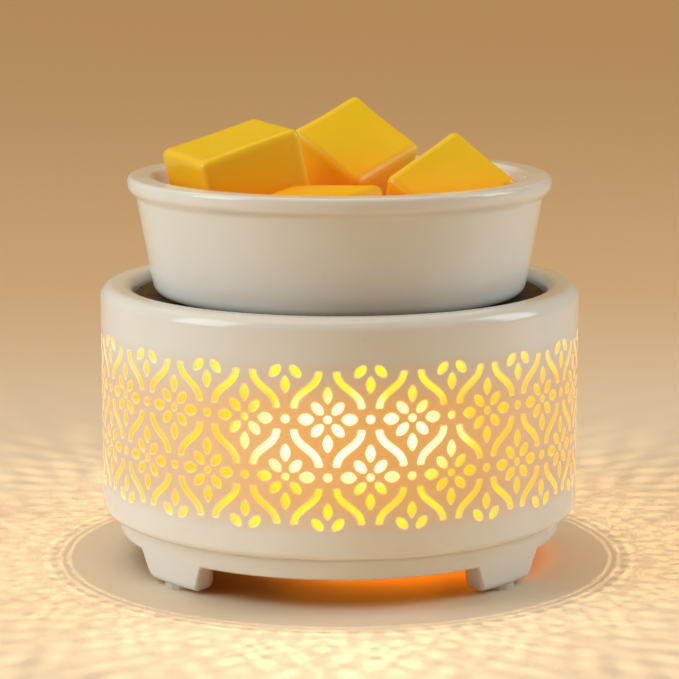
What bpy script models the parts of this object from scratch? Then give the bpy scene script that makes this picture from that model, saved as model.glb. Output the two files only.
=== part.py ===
"""Electric wax warmer: a pierced ceramic drum with a lamp inside, a heated plate on top,
and a lift-off dish of wax cubes.

Metres, +Z up. The origin is on the table under the middle of the drum, and the front of
the drum faces -Y. Angles are measured round Z, counted from +X.
"""

import math
from math import cos, pi, radians, sin

import bmesh
import bpy
from mathutils import Euler, Matrix, Vector
from mathutils.geometry import delaunay_2d_cdt

# ---------------------------------------------------------------- fits and fineness
CLEARANCE = 0.0003          # between faces that touch
LOOSE_FIT = 0.0005          # round a piece that drops into its place
HOLE_FIT = 0.0003           # radial, round a rod or screw in its hole
SEGMENTS_PER_REPEAT = 3     # round the drum, the dish and the base
INNER_SEGMENTS = 38         # round the hidden discs and rings
SMALL_SEGMENTS = 12         # round rods, screws and pads

# ---------------------------------------------------------------- drum
DRUM_RADIUS = 0.0650
DRUM_WALL = 0.0045
DRUM_HEIGHT = 0.0619        # from the groove to the top of the rim
DRUM_FOOT_ROUND = 0.0022    # round edge above the groove
SHOULDER_ROUND = 0.0036     # round outer edge of the rim
RIM_WIDTH = 0.0087          # from the outside to the opening that the hot plate sits in
RIM_BEVEL = 0.0026          # inner bevel of the rim
LEDGE_DEPTH = 0.0061        # from the top of the rim to the ledge under the plate
LEDGE_THICKNESS = 0.0030
LEDGE_WIDTH = 0.0058

# ---------------------------------------------------------------- pierced pattern
# The band is drawn on cells one repeat wide and one row drop high, so it fits any drum.
REPEATS = 19
PATTERN_START = radians(-92.6)   # angle of the flower nearest the front
PLAIN_BELOW = 0.0062             # plain wall under the band
PLAIN_ABOVE = 0.0005             # plain wall between the band and the ledge inside
BAND_ROWS = 3.09                 # height of the band, in row drops
FLOWER_HALF_WIDTH = 0.344
FLOWER_HALF_HEIGHT = 0.50
FLOWER_TIP_WIDTH = 0.10
STROKE_HALF_WIDTH = 0.190
STROKE_HALF_HEIGHT = 0.315
STROKE_THICKNESS = 0.105
EDGE_FLOWER_NEAR = 0.44          # from a row to the tip of the half flower beyond it
EDGE_FLOWER_FAR = 0.94
EDGE_FLOWER_HALF_WIDTH = 0.17

# ---------------------------------------------------------------- base
SKIRT_INSET = 0.0040             # from the drum's outside
SKIRT_TAPER = 0.0007
SKIRT_HEIGHT = 0.0059
SKIRT_ROUND = 0.0012
SKIRT_WALL = 0.0050
PLATE_LIFT = 0.0015              # underside of the base inside the skirt, above its lower edge
COVER_INSET = 0.0100             # removable bottom cover, from the skirt's outside
COVER_THICKNESS = 0.0015
FLANGE_THICKNESS = 0.0020        # of the ring that the bottom cover is drawn up to
FLANGE_WIDTH = 0.0032            # how far the flange reaches over the cover
UPSTAND_WALL = 0.0040
UPSTAND_HEIGHT = 0.0058          # ring that centres the drum, above the skirt's top
FOOT_SPREAD = radians(49)        # from the front and from the back, either way
FOOT_HEIGHT = 0.0072
FOOT_HALF_ANGLE = radians(11)
FOOT_DEPTH = 0.0086              # radial
FOOT_SLOPE = 0.0012
FOOT_CORNER = 0.0024
PAD_RADIUS = 0.0039
PAD_STAND_OUT = 0.0008           # pad below the foot
PAD_RECESS = 0.0009              # pad's pocket in the foot
VENT_COUNT = 12
VENT_INNER = 0.0150
VENT_OUTER = 0.0290
VENT_WIDTH = 0.0040

# ---------------------------------------------------------------- dish and wax
DISH_HEIGHT = 0.0320
DISH_BASE_INSET = 0.0048         # from the plate's edge, where the wall starts above its corner
DISH_BASE_ROUND = 0.0034
DISH_SPREAD = 0.0041             # from the base to the neck, under the lip
DISH_LIP_OUT = 0.0024            # lip beyond the neck
DISH_LIP_DROP = 0.0058           # height of the flare under the lip
DISH_WALL = 0.0050
DISH_FLOOR = 0.0048
DISH_INNER_ROUND = 0.0040
WAX_ROUND = 0.0016
# Each wax cube: its middle, from the middle of the bowl's floor, then its size, both in bowl
# radii, and its turn about X, Y and Z in degrees.
WAX_PILE = {
    "wax_cube_1": ((-0.553, -0.060, 0.551), (0.609, 0.529, 0.401), (2.5, -15.2, 28.2)),
    "wax_cube_2": ((0.058, 0.623, 0.541), (0.525, 0.541, 0.399), (22.6, 33.1, -32.6)),
    "wax_cube_3": ((0.587, -0.068, 0.403), (0.489, 0.541, 0.395), (32.2, 33.0, -33.5)),
    "wax_cube_4": ((-0.104, -0.565, 0.317), (0.545, 0.539, 0.399), (2.2, -3.4, -22.5)),
    "wax_cube_5": ((-0.066, 0.031, 0.168), (0.501, 0.501, 0.321), (0, 0, -14.1)),
    "wax_cube_6": ((-0.559, 0.200, 0.148), (0.441, 0.441, 0.281), (0, 0, -22.9)),
}

# ---------------------------------------------------------------- heating stack
PLATE_FIT = 0.0007               # radial, in the rim's opening
PLATE_THICKNESS = 0.0015
SEAL_THICKNESS = 0.0010
SEAL_WIDTH = 0.0044
BOSS_RADIUS = 0.0045
BOSS_LENGTH = 0.0051
BOSS_ROOF = 0.0011               # metal left above the rod's blind hole
HEATER_FIT = 0.0010              # to the bosses
HEATER_THICKNESS = 0.0018
INSULATION_THICKNESS = 0.0027
CLAMP_THICKNESS = 0.0015
CLAMP_WIDTH = 0.0120
CLAMP_BEYOND_ROD = 0.0050        # from a rod's axis to the end of the arm
THERMOSTAT_RADIUS = 0.0075
THERMOSTAT_HEIGHT = 0.0070
FUSE_RADIUS = 0.0017
FUSE_LENGTH = 0.0140
FUSE_DISTANCE = 0.0200           # from the axis, under one arm of the clamp

# ---------------------------------------------------------------- tie rods and nuts
ROD_COUNT = 4
ROD_RADIUS = 0.0020
ROD_INSET = 0.0075               # circle of rods inside the ledge
ROD_STAND_OUT = 0.0007           # rod below its lower nut
NUT_ACROSS_CORNERS = 0.0081
NUT_HEIGHT = 0.0032

# ---------------------------------------------------------------- lamp
LAMP_GAP = 0.0024                # between the bulb and the thermostat
LAMP_FORWARD = 0.0140            # lamp's axis in front of the drum's axis
BULB_RADIUS = 0.0100
BULB_LENGTH = 0.0491             # from the tip to the neck's start
BULB_STRAIGHT = 0.0410           # from the tip to where the bulb narrows
NECK_RADIUS = 0.0061
NECK_LENGTH = 0.0055
GLASS_WALL = 0.0007
CAP_RADIUS = 0.0070
CAP_WALL = 0.0006
CAP_LENGTH = 0.0115
CAP_SETBACK = 0.0024             # from the neck's start to the cap
CAP_FIT = 0.0019                 # cap's end to the bottom of the holder's bore
HOLDER_RADIUS = 0.0110
HOLDER_LENGTH = 0.0127
HOLDER_BORE_DEPTH = 0.0097
HOLDER_STEM_RADIUS = 0.0050
HOLDER_STEM_LENGTH = 0.0055
HOLDER_NUT_RADIUS = 0.0075
HOLDER_NUT_LENGTH = 0.0025
BRACKET_INSET = 0.0098           # inner face of the upright, from the bottom cover's edge
BRACKET_THICKNESS = 0.0015
BRACKET_WIDTH = 0.0140
BRACKET_FOOT = 0.0128            # length of the foot on the bottom cover
BRACKET_ABOVE_LAMP = 0.0110
SCREW_RADIUS = 0.0015
SCREW_HEAD_RADIUS = 0.0028
SCREW_HEAD_HEIGHT = 0.0018
SCREW_SPACING = 0.0074
SLEEVE_THICKNESS = 0.0010

# ---------------------------------------------------------------- wiring
BLOCK_SIZE = Vector((0.0100, 0.0200, 0.0090))
BLOCK_INSET = 0.0150             # its middle, from the bottom cover's edge
BLOCK_BACK = 0.0120              # behind the axis
WIRE_RADIUS = 0.0008
GLAND_INSET = 0.0115             # from the bottom cover's edge
GLAND_RADIUS = 0.0050
GLAND_FLANGE = 0.0065
GLAND_FLANGE_HEIGHT = 0.0014
GLAND_BORE = 0.0029

# ---------------------------------------------------------------- radii and places that follow
RIM_OPENING = DRUM_RADIUS - RIM_WIDTH
LEDGE_RADIUS = RIM_OPENING - LEDGE_WIDTH
SKIRT_RADIUS = DRUM_RADIUS - SKIRT_INSET
COVER_RADIUS = SKIRT_RADIUS - COVER_INSET
PLATE_RADIUS = RIM_OPENING - PLATE_FIT
DISH_BASE_RADIUS = PLATE_RADIUS - DISH_BASE_INSET
DISH_NECK_RADIUS = DISH_BASE_RADIUS + DISH_SPREAD
DISH_LIP_RADIUS = DISH_NECK_RADIUS + DISH_LIP_OUT
BOWL_RADIUS = DISH_NECK_RADIUS - DISH_WALL
ROD_CIRCLE = LEDGE_RADIUS - ROD_INSET
ROD_HOLE = ROD_RADIUS + HOLE_FIT
HEATER_RADIUS = ROD_CIRCLE - BOSS_RADIUS - HEATER_FIT
CLAMP_HALF_LENGTH = ROD_CIRCLE + CLAMP_BEYOND_ROD
BRACKET_X = COVER_RADIUS - BRACKET_INSET
CAP_END_X = BRACKET_X - CLEARANCE - HOLDER_LENGTH + HOLDER_BORE_DEPTH - CAP_FIT
NECK_START_X = CAP_END_X - CAP_LENGTH - CAP_SETBACK
BULB_TIP_X = NECK_START_X - BULB_LENGTH
BULB_STRAIGHT_END_X = BULB_TIP_X + BULB_STRAIGHT
BLOCK_PLACE = Vector((BLOCK_INSET - COVER_RADIUS, BLOCK_BACK))
GLAND_PLACE = Vector((0.0, COVER_RADIUS - GLAND_INSET))

# ---------------------------------------------------------------- heights that follow
FOOT_BOTTOM = PAD_STAND_OUT
SKIRT_BOTTOM = FOOT_BOTTOM + FOOT_HEIGHT
BASE_TOP = SKIRT_BOTTOM + SKIRT_HEIGHT
FLOOR_BOTTOM = SKIRT_BOTTOM + PLATE_LIFT
FLOOR_TOP = FLOOR_BOTTOM + COVER_THICKNESS
FLANGE_BOTTOM = FLOOR_TOP + CLEARANCE
FLANGE_TOP = FLANGE_BOTTOM + FLANGE_THICKNESS
UPSTAND_TOP = BASE_TOP + UPSTAND_HEIGHT
DRUM_BOTTOM = BASE_TOP + CLEARANCE
DRUM_TOP = DRUM_BOTTOM + DRUM_HEIGHT
DRUM_INNER = DRUM_RADIUS - DRUM_WALL
UPSTAND_RADIUS = DRUM_INNER - LOOSE_FIT
LEDGE_TOP = DRUM_TOP - LEDGE_DEPTH
LEDGE_BOTTOM = LEDGE_TOP - LEDGE_THICKNESS
PLATE_BOTTOM = LEDGE_TOP + SEAL_THICKNESS + 2 * CLEARANCE
PLATE_TOP = PLATE_BOTTOM + PLATE_THICKNESS
BOSS_BOTTOM = PLATE_BOTTOM - BOSS_LENGTH
BOSS_HOLE_TOP = PLATE_BOTTOM - BOSS_ROOF
HEATER_BOTTOM = PLATE_BOTTOM - CLEARANCE - HEATER_THICKNESS
INSULATION_BOTTOM = HEATER_BOTTOM - CLEARANCE - INSULATION_THICKNESS
CLAMP_BOTTOM = min(INSULATION_BOTTOM, BOSS_BOTTOM) - CLEARANCE - CLAMP_THICKNESS
DISH_BOTTOM = PLATE_TOP + CLEARANCE
DISH_TOP = DISH_BOTTOM + DISH_HEIGHT
BAND_BOTTOM = DRUM_BOTTOM + PLAIN_BELOW
BAND_TOP = LEDGE_BOTTOM - PLAIN_ABOVE
ROW_DROP = (BAND_TOP - BAND_BOTTOM) / BAND_ROWS
UPPER_ROW = (BAND_TOP + BAND_BOTTOM + ROW_DROP) / 2
LOWER_ROW = UPPER_ROW - ROW_DROP
LAMP_HEIGHT = CLAMP_BOTTOM - CLEARANCE - THERMOSTAT_HEIGHT - LAMP_GAP - BULB_RADIUS
LAMP_AXIS = Vector((0.0, -LAMP_FORWARD, LAMP_HEIGHT))


# ================================================================ tools
def start_fresh():
    for thing in list(bpy.data.objects):
        bpy.data.objects.remove(thing, do_unlink=True)


def material(name, colour, roughness, metallic=0.0):
    made = bpy.data.materials.new(name)
    made.use_nodes = True
    shader = made.node_tree.nodes["Principled BSDF"]
    shader.inputs["Base Color"].default_value = (*colour, 1.0)
    shader.inputs["Roughness"].default_value = roughness
    shader.inputs["Metallic"].default_value = metallic
    made.diffuse_color = (*colour, 1.0)
    return made


def solid(name, shape, finish, smooth_angle=radians(35)):
    """One named object from a bmesh, with its faces pointing out."""
    bmesh.ops.recalc_face_normals(shape, faces=shape.faces)
    mesh = bpy.data.meshes.new(name)
    shape.to_mesh(mesh)
    shape.free()
    mesh.shade_smooth()
    mesh.set_sharp_from_angle(angle=smooth_angle)
    mesh.materials.append(finish)
    made = bpy.data.objects.new(name, mesh)
    bpy.context.scene.collection.objects.link(made)
    return made


def combine(body, tool, operation):
    """A live Boolean on body; the tool stays in the scene as a hidden wire."""
    tool.hide_render = True
    tool.display_type = "WIRE"
    step = body.modifiers.new(tool.name, "BOOLEAN")
    step.operation = operation
    step.solver = "EXACT"
    step.object = tool


def cut(body, tool):
    combine(body, tool, "DIFFERENCE")


def add(body, tool):
    combine(body, tool, "UNION")


def arc(centre, radius, start, end, steps):
    """Points of an arc in a turned profile; angles in degrees."""
    angles = [radians(start + (end - start) * i / steps) for i in range(steps + 1)]
    return [(centre[0] + radius * cos(a), centre[1] + radius * sin(a)) for a in angles]


def turned(profile, segments, closed=True, first_angle=0.0):
    """A profile of (radius, height) points turned round Z. Points on the axis become poles."""
    shape = bmesh.new()
    rings = []
    for radius, height in profile:
        if radius == 0.0:
            rings.append([shape.verts.new((0.0, 0.0, height))])
            continue
        angles = [first_angle + 2 * pi * i / segments for i in range(segments)]
        rings.append([shape.verts.new((radius * cos(a), radius * sin(a), height)) for a in angles])
    pairs = list(zip(rings, rings[1:]))
    if closed:
        pairs.append((rings[-1], rings[0]))
    for one, other in pairs:
        join_rings(shape, one, other)
    return shape


def join_rings(shape, one, other):
    count = max(len(one), len(other))
    if count == 1:
        return
    for i in range(count):
        k = (i + 1) % count
        corners = [one[i % len(one)], one[k % len(one)], other[k % len(other)], other[i % len(other)]]
        shape.faces.new(list(dict.fromkeys(corners)))


def lofted(outlines):
    """A solid through outlines of equal point count, closed by a flat face at each end."""
    shape = bmesh.new()
    rings = [[shape.verts.new(point) for point in outline] for outline in outlines]
    for one, other in zip(rings, rings[1:]):
        join_rings(shape, one, other)
    shape.faces.new(list(reversed(rings[0])))
    shape.faces.new(rings[-1])
    return shape


def cylinder(radius, bottom, top, place=(0.0, 0.0), segments=SMALL_SEGMENTS, first_angle=0.0):
    profile = [(0.0, bottom), (radius, bottom), (radius, top), (0.0, top)]
    shape = turned(profile, segments, closed=False, first_angle=first_angle)
    shape.transform(Matrix.Translation((place[0], place[1], 0.0)))
    return shape


def ring(inner, outer, bottom, top, place=(0.0, 0.0), segments=SMALL_SEGMENTS):
    profile = [(inner, bottom), (outer, bottom), (outer, top), (inner, top)]
    shape = turned(profile, segments)
    shape.transform(Matrix.Translation((place[0], place[1], 0.0)))
    return shape


def box(low, high):
    """A block between two corners."""
    outline = [(low[0], low[1]), (high[0], low[1]), (high[0], high[1]), (low[0], high[1])]
    return lofted([[(x, y, z) for x, y in outline] for z in (low[2], high[2])])


def nut(bore, across_corners, bottom, height, place):
    """A hexagon with a round bore: six flats outside, twelve sides inside."""
    shape = bmesh.new()
    angles = [2 * pi * i / SMALL_SEGMENTS for i in range(SMALL_SEGMENTS)]
    flat = across_corners / 2 * cos(pi / 6)
    radii = [across_corners / 2 if i % 2 == 0 else flat for i in range(SMALL_SEGMENTS)]
    levels = []
    for height_now in (bottom, bottom + height):
        outer = [shape.verts.new((r * cos(a), r * sin(a), height_now)) for r, a in zip(radii, angles)]
        inner = [shape.verts.new((bore * cos(a), bore * sin(a), height_now)) for a in angles]
        levels.append((inner, outer))
    (low_in, low_out), (high_in, high_out) = levels
    for one, other in ((low_in, low_out), (low_out, high_out), (high_out, high_in), (high_in, low_in)):
        join_rings(shape, one, other)
    shape.transform(Matrix.Translation((place[0], place[1], 0.0)))
    return shape


def along_x(shape, place):
    """Turns a shape made along +Z to run along +X, and moves it to place."""
    shape.transform(Matrix.Translation(place) @ Matrix.Rotation(pi / 2, 4, "Y"))
    return shape


def round_the_axis(radius, count, first_angle):
    """Places (x, y) evenly round Z."""
    angles = [first_angle + 2 * pi * i / count for i in range(count)]
    return [(radius * cos(a), radius * sin(a)) for a in angles]


def wire(name, points, finish, steps=4, radius=WIRE_RADIUS, sides=1):
    """A round wire through points, along a smooth curve."""
    line = bpy.data.curves.new(name, "CURVE")
    line.dimensions = "3D"
    line.bevel_depth = radius
    line.bevel_resolution = sides
    line.use_fill_caps = True
    path = smooth_path([Vector(p) for p in points], steps)
    spline = line.splines.new("POLY")
    spline.points.add(len(path) - 1)
    for target, point in zip(spline.points, path):
        target.co = (*point, 1.0)
    line.materials.append(finish)
    made = bpy.data.objects.new(name, line)
    bpy.context.scene.collection.objects.link(made)
    return made


def smooth_path(points, steps):
    """A Catmull-Rom curve through the points."""
    ends = [2 * points[0] - points[1]] + points + [2 * points[-1] - points[-2]]
    path = []
    for a, b, c, d in zip(ends, ends[1:], ends[2:], ends[3:]):
        for i in range(steps):
            t = i / steps
            path.append(0.5 * ((2 * b) + (c - a) * t + (2 * a - 5 * b + 4 * c - d) * t ** 2
                               + (3 * b - a - 3 * c + d) * t ** 3))
    return path + [points[-1]]


# ================================================================ pierced drum
def placed(shape, angle, height):
    """Moves an outline, drawn in cells, to its angle and height on the drum."""
    cell = 2 * pi / REPEATS
    return [(angle + across * cell, height + up * ROW_DROP) for across, up in shape]


def flower_outline(angle, height):
    """One six-sided opening for a whole flower."""
    w, h, tip = FLOWER_HALF_WIDTH, FLOWER_HALF_HEIGHT, FLOWER_TIP_WIDTH
    return placed([(w, 0), (tip, h), (-tip, h), (-w, 0), (-tip, -h), (tip, -h)], angle, height)


def edge_flower_outline(angle, height, up):
    """The half flower at an edge of the band: a kite that opens away from the rows."""
    near, far, w = up * EDGE_FLOWER_NEAR, up * EDGE_FLOWER_FAR, EDGE_FLOWER_HALF_WIDTH
    return placed([(0, near), (w, (near + far) / 2), (0, far), (-w, (near + far) / 2)], angle, height)


def stroke_outline(angle, height, lean):
    """The slanting stroke of the lattice between the flowers; lean is +1 or -1."""
    w, h, t = STROKE_HALF_WIDTH * lean, STROKE_HALF_HEIGHT, STROKE_THICKNESS / 2
    return placed([(-w - t, -h), (-w + t, -h), (w + t, h), (w - t, h)], angle, height)


def pattern_outlines():
    """Every opening of the band, as outlines of (angle, height)."""
    step = 2 * pi / REPEATS
    tiers = ((UPPER_ROW + ROW_DROP / 2, -1), (UPPER_ROW - ROW_DROP / 2, 1), (LOWER_ROW - ROW_DROP / 2, -1))
    outlines = []
    for k in range(REPEATS):
        at = PATTERN_START + k * step
        outlines.append(flower_outline(at, UPPER_ROW))
        outlines.append(flower_outline(at + step / 2, LOWER_ROW))
        outlines.append(edge_flower_outline(at + step / 2, UPPER_ROW, 1))
        outlines.append(edge_flower_outline(at, LOWER_ROW, -1))
        for height, lean in tiers:
            outlines.append(stroke_outline(at + step / 4, height, lean))
            outlines.append(stroke_outline(at - step / 4, height, -lean))
    return outlines


def pierced_band(shape, bottom_angles):
    """Adds the pierced wall and returns its four edge rings, outer and inner.

    The band is unrolled into a flat ring, where a height becomes a radius that grows
    exponentially, so shapes keep their angles. It is triangulated there round the openings.
    """
    middle = (BAND_TOP + BAND_BOTTOM) / 2

    def flat(angle, height):
        radius = math.exp((height - middle) / DRUM_RADIUS)
        return Vector((radius * cos(angle), radius * sin(angle)))

    top_ring = [(a, BAND_TOP) for a in bottom_angles]
    bottom_ring = [(a, BAND_BOTTOM) for a in bottom_angles]
    outlines = [top_ring, bottom_ring] + pattern_outlines()
    points = [point for outline in outlines for point in outline]
    loops, start = [], 0
    for outline in outlines:
        loops.append(list(range(start, start + len(outline))))
        start += len(outline)
    flat_points = [flat(*point) for point in points]
    loops = [loop if signed_area(flat_points, loop) > 0 else loop[::-1] for loop in loops]
    result = delaunay_2d_cdt(flat_points, [], loops, 0, 1e-7)
    first_input = [members[0] for members in result[3]]
    outer = [around(shape, DRUM_RADIUS, *points[i]) for i in first_input]
    inner = [around(shape, DRUM_INNER, *points[i]) for i in first_input]
    for triangle, owners in zip(result[2], result[5]):
        if owners == [0]:
            shape.faces.new([outer[i] for i in triangle])
            shape.faces.new([inner[i] for i in reversed(triangle)])
    place = {given: i for i, members in enumerate(result[3]) for given in members}
    for loop in loops[2:]:
        join_rings(shape, [outer[place[i]] for i in loop], [inner[place[i]] for i in loop])
    return [[skin[place[i]] for i in loop] for loop in loops[:2] for skin in (outer, inner)]


def signed_area(points, loop):
    """Twice the area inside a flat loop: positive where it runs counter-clockwise."""
    return sum(points[a].cross(points[b]) for a, b in zip(loop, loop[1:] + loop[:1]))


def around(shape, radius, angle, height):
    return shape.verts.new((radius * cos(angle), radius * sin(angle), height))


def make_shell(finish):
    """Drum: pierced wall, rounded rim with an inner bevel, and the ledge for the hot plate."""
    shape = bmesh.new()
    angles = ring_angles()
    top_outer, top_inner, low_outer, low_inner = pierced_band(shape, angles)
    shoulder = DRUM_RADIUS - SHOULDER_ROUND, DRUM_TOP - SHOULDER_ROUND
    rim = arc(shoulder, SHOULDER_ROUND, 0, 90, 4)
    rim += [(RIM_OPENING + RIM_BEVEL * 1.1, DRUM_TOP), (RIM_OPENING + RIM_BEVEL * 0.3, DRUM_TOP - RIM_BEVEL * 0.5),
            (RIM_OPENING, DRUM_TOP - RIM_BEVEL * 1.2), (RIM_OPENING, LEDGE_TOP), (LEDGE_RADIUS, LEDGE_TOP),
            (LEDGE_RADIUS, LEDGE_BOTTOM), (DRUM_INNER, LEDGE_BOTTOM)]
    foot = arc((DRUM_RADIUS - DRUM_FOOT_ROUND, DRUM_BOTTOM + DRUM_FOOT_ROUND), DRUM_FOOT_ROUND, 0, -90, 3)
    foot += [(DRUM_INNER, DRUM_BOTTOM)]
    for first, profile, last in ((top_outer, rim, top_inner), (low_outer, foot, low_inner)):
        rings = [first]
        rings += [[around(shape, radius, a, height) for a in angles] for radius, height in profile]
        rings.append(last)
        for one, other in zip(rings, rings[1:]):
            join_rings(shape, one, other)
    return solid("ceramic_shell", shape, finish)


def ring_angles():
    count = REPEATS * SEGMENTS_PER_REPEAT
    return [PATTERN_START + 2 * pi * i / count for i in range(count)]


# ================================================================ base
def foot_shape(middle):
    """One foot: a block that follows the skirt, tapers down and has rounded edges."""
    outer = SKIRT_RADIUS - SKIRT_TAPER - CLEARANCE
    levels = [(FOOT_CORNER * (1 - cos(t)), FOOT_CORNER * (1 - sin(t))) for t in (0, pi / 6, pi / 3, pi / 2)]
    levels.append((FOOT_HEIGHT + PLATE_LIFT + COVER_THICKNESS / 2, 0.0))
    outlines = []
    for rise, inset in levels:
        slope = FOOT_SLOPE * max(0.0, 1 - rise / FOOT_HEIGHT)
        outline = sector(outer - slope - inset, FOOT_DEPTH - slope - 2 * inset, inset, middle)
        outlines.append([(x, y, FOOT_BOTTOM + rise) for x, y in outline])
    return lofted(outlines)


def sector(outer, depth, inset, middle):
    """Outline of a block bent round Z, with rounded corners."""
    corner = FOOT_CORNER - inset * 0.5
    inner = outer - depth
    half = FOOT_HALF_ANGLE - inset / outer
    points = []
    for side in (-1, 1):
        points += [(outer - corner * (1 - cos(t)), side * (half - corner / outer * (1 - sin(t))))
                   for t in ((pi / 2, pi / 4, 0) if side < 0 else (0, pi / 4, pi / 2))]
        if side < 0:
            points += [(outer, half * s) for s in (-0.4, 0.0, 0.4)]
    for side in (1, -1):
        points += [(inner + corner * (1 - cos(t)), side * (half - corner / outer * (1 - sin(t))))
                   for t in ((pi / 2, pi / 4, 0) if side > 0 else (0, pi / 4, pi / 2))]
        if side > 0:
            points.append((inner, 0.0))
    return [(r * cos(middle + a), r * sin(middle + a)) for r, a in points]


def foot_middle():
    """Distance of a foot's middle from the axis."""
    return SKIRT_RADIUS - SKIRT_TAPER - CLEARANCE - FOOT_DEPTH / 2


def gathered(shapes):
    """Several separate shapes in one mesh."""
    together = bmesh.new()
    for shape in shapes:
        holder = bpy.data.meshes.new("holder")
        shape.to_mesh(holder)
        shape.free()
        together.from_mesh(holder)
        bpy.data.meshes.remove(holder)
    return together


def vent(angle):
    """A slot through the bottom cover, along a radius."""
    w = VENT_WIDTH / 2
    low, high = FLOOR_BOTTOM - COVER_THICKNESS, FLOOR_TOP + COVER_THICKNESS
    outline = [(VENT_INNER, -w), (VENT_OUTER, -w), (VENT_OUTER + w, 0), (VENT_OUTER, w), (VENT_INNER, w)]
    slot = lofted([[(x, y, z) for x, y in outline] for z in (low, high)])
    slot.transform(Matrix.Rotation(angle, 4, "Z"))
    return slot


def make_base(finish):
    """Skirt on four feet, with a flange for the bottom cover and the ring that centres the drum."""
    lower = SKIRT_RADIUS - SKIRT_TAPER
    inner = SKIRT_RADIUS - SKIRT_WALL
    recess = COVER_RADIUS + CLEARANCE
    profile = [(recess, FLOOR_BOTTOM), (inner, FLOOR_BOTTOM), (inner, SKIRT_BOTTOM)]
    profile += arc((lower - SKIRT_ROUND, SKIRT_BOTTOM + SKIRT_ROUND), SKIRT_ROUND, -90, 0, 2)
    profile += [(SKIRT_RADIUS, BASE_TOP), (UPSTAND_RADIUS, BASE_TOP), (UPSTAND_RADIUS, UPSTAND_TOP),
                (UPSTAND_RADIUS - UPSTAND_WALL, UPSTAND_TOP), (UPSTAND_RADIUS - UPSTAND_WALL, FLANGE_TOP),
                (recess - FLANGE_WIDTH, FLANGE_TOP), (recess - FLANGE_WIDTH, FLANGE_BOTTOM), (recess, FLANGE_BOTTOM)]
    base = solid("foot_base", turned(profile, REPEATS * SEGMENTS_PER_REPEAT, first_angle=PATTERN_START), finish)
    add(base, solid("feet_tool", gathered([foot_shape(a) for a in foot_angles()]), finish))
    pockets = [cylinder(PAD_RADIUS + CLEARANCE, -PAD_RECESS, FOOT_BOTTOM + PAD_RECESS, place)
               for place in pad_places()]
    cut(base, solid("pocket_cutter", gathered(pockets), finish))


def make_cover(finish):
    """Bottom cover: a flat disc with vents and the holes for rods, screws and the cord's bush."""
    below, above = FLOOR_BOTTOM - COVER_THICKNESS, FLOOR_TOP + COVER_THICKNESS
    disc = cylinder(COVER_RADIUS, FLOOR_BOTTOM, FLOOR_TOP, segments=INNER_SEGMENTS)
    cover = solid("bottom_cover", disc, finish)
    cutters = [vent(2 * pi * i / VENT_COUNT) for i in range(VENT_COUNT)]
    cutters += [cylinder(ROD_HOLE, below, above, place) for place in rod_places()]
    cutters += [cylinder(SCREW_RADIUS + HOLE_FIT, below, above, place) for place in screw_places()]
    cutters.append(cylinder(GLAND_RADIUS + CLEARANCE, below, above, GLAND_PLACE))
    cut(cover, solid("cover_cutter", gathered(cutters), finish))


def rod_places():
    return round_the_axis(ROD_CIRCLE, ROD_COUNT, pi / 4)


def foot_angles():
    return [side * (pi / 2 + way * FOOT_SPREAD) for side in (-1, 1) for way in (-1, 1)]


def pad_places():
    return [(foot_middle() * cos(a), foot_middle() * sin(a)) for a in foot_angles()]


def screw_places():
    x = BRACKET_X + BRACKET_THICKNESS - BRACKET_FOOT + 2 * SCREW_HEAD_RADIUS
    return [(x, -LAMP_FORWARD - SCREW_SPACING / 2), (x, -LAMP_FORWARD + SCREW_SPACING / 2)]


def make_pads(finish):
    for i, place in enumerate(pad_places()):
        pad = cylinder(PAD_RADIUS, 0.0, FOOT_BOTTOM + PAD_RECESS - CLEARANCE, place)
        solid(f"foot_pad_{i + 1}", pad, finish)


def make_gland(finish):
    """Bush for the mains cord, with its flange under the bottom cover."""
    flange_top = FLOOR_BOTTOM - CLEARANCE
    top = FLOOR_TOP + GLAND_FLANGE_HEIGHT
    profile = [(GLAND_BORE, flange_top - GLAND_FLANGE_HEIGHT), (GLAND_FLANGE, flange_top - GLAND_FLANGE_HEIGHT),
               (GLAND_FLANGE, flange_top), (GLAND_RADIUS, flange_top), (GLAND_RADIUS, top), (GLAND_BORE, top)]
    shape = turned(profile, SMALL_SEGMENTS)
    shape.transform(Matrix.Translation((*GLAND_PLACE, 0.0)))
    solid("cord_gland", shape, finish)


# ================================================================ dish and wax
def make_dish(finish):
    """Flared dish with a turned-out lip, a flat bottom and a round inner corner."""
    base, top = DISH_BASE_RADIUS, DISH_TOP
    corner = arc((base - DISH_BASE_ROUND, DISH_BOTTOM + DISH_BASE_ROUND), DISH_BASE_ROUND, -90, 0, 3)
    flare = DISH_LIP_RADIUS - DISH_NECK_RADIUS
    neck = top - DISH_LIP_DROP
    lip = [(DISH_NECK_RADIUS, neck), (DISH_NECK_RADIUS + flare * 0.22, neck + DISH_LIP_DROP * 0.38),
           (DISH_NECK_RADIUS + flare * 0.75, neck + DISH_LIP_DROP * 0.62),
           (DISH_LIP_RADIUS, neck + DISH_LIP_DROP * 0.78), (DISH_LIP_RADIUS - flare * 0.12, top - flare * 0.15),
           (DISH_LIP_RADIUS - flare * 0.5, top), (BOWL_RADIUS + flare * 0.5, top),
           (BOWL_RADIUS, top - flare * 0.4)]
    slope = (DISH_NECK_RADIUS - base) / (neck - DISH_BOTTOM - DISH_BASE_ROUND)
    floor = DISH_BOTTOM + DISH_FLOOR
    inner_base = BOWL_RADIUS - slope * (neck - floor - DISH_INNER_ROUND)
    inside = arc((inner_base - DISH_INNER_ROUND, floor + DISH_INNER_ROUND), DISH_INNER_ROUND, 0, -90, 3)
    profile = [(0.0, DISH_BOTTOM)] + corner + lip + inside + [(0.0, floor)]
    segments = REPEATS * SEGMENTS_PER_REPEAT
    solid("wax_dish", turned(profile, segments, closed=False, first_angle=PATTERN_START), finish)


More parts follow.
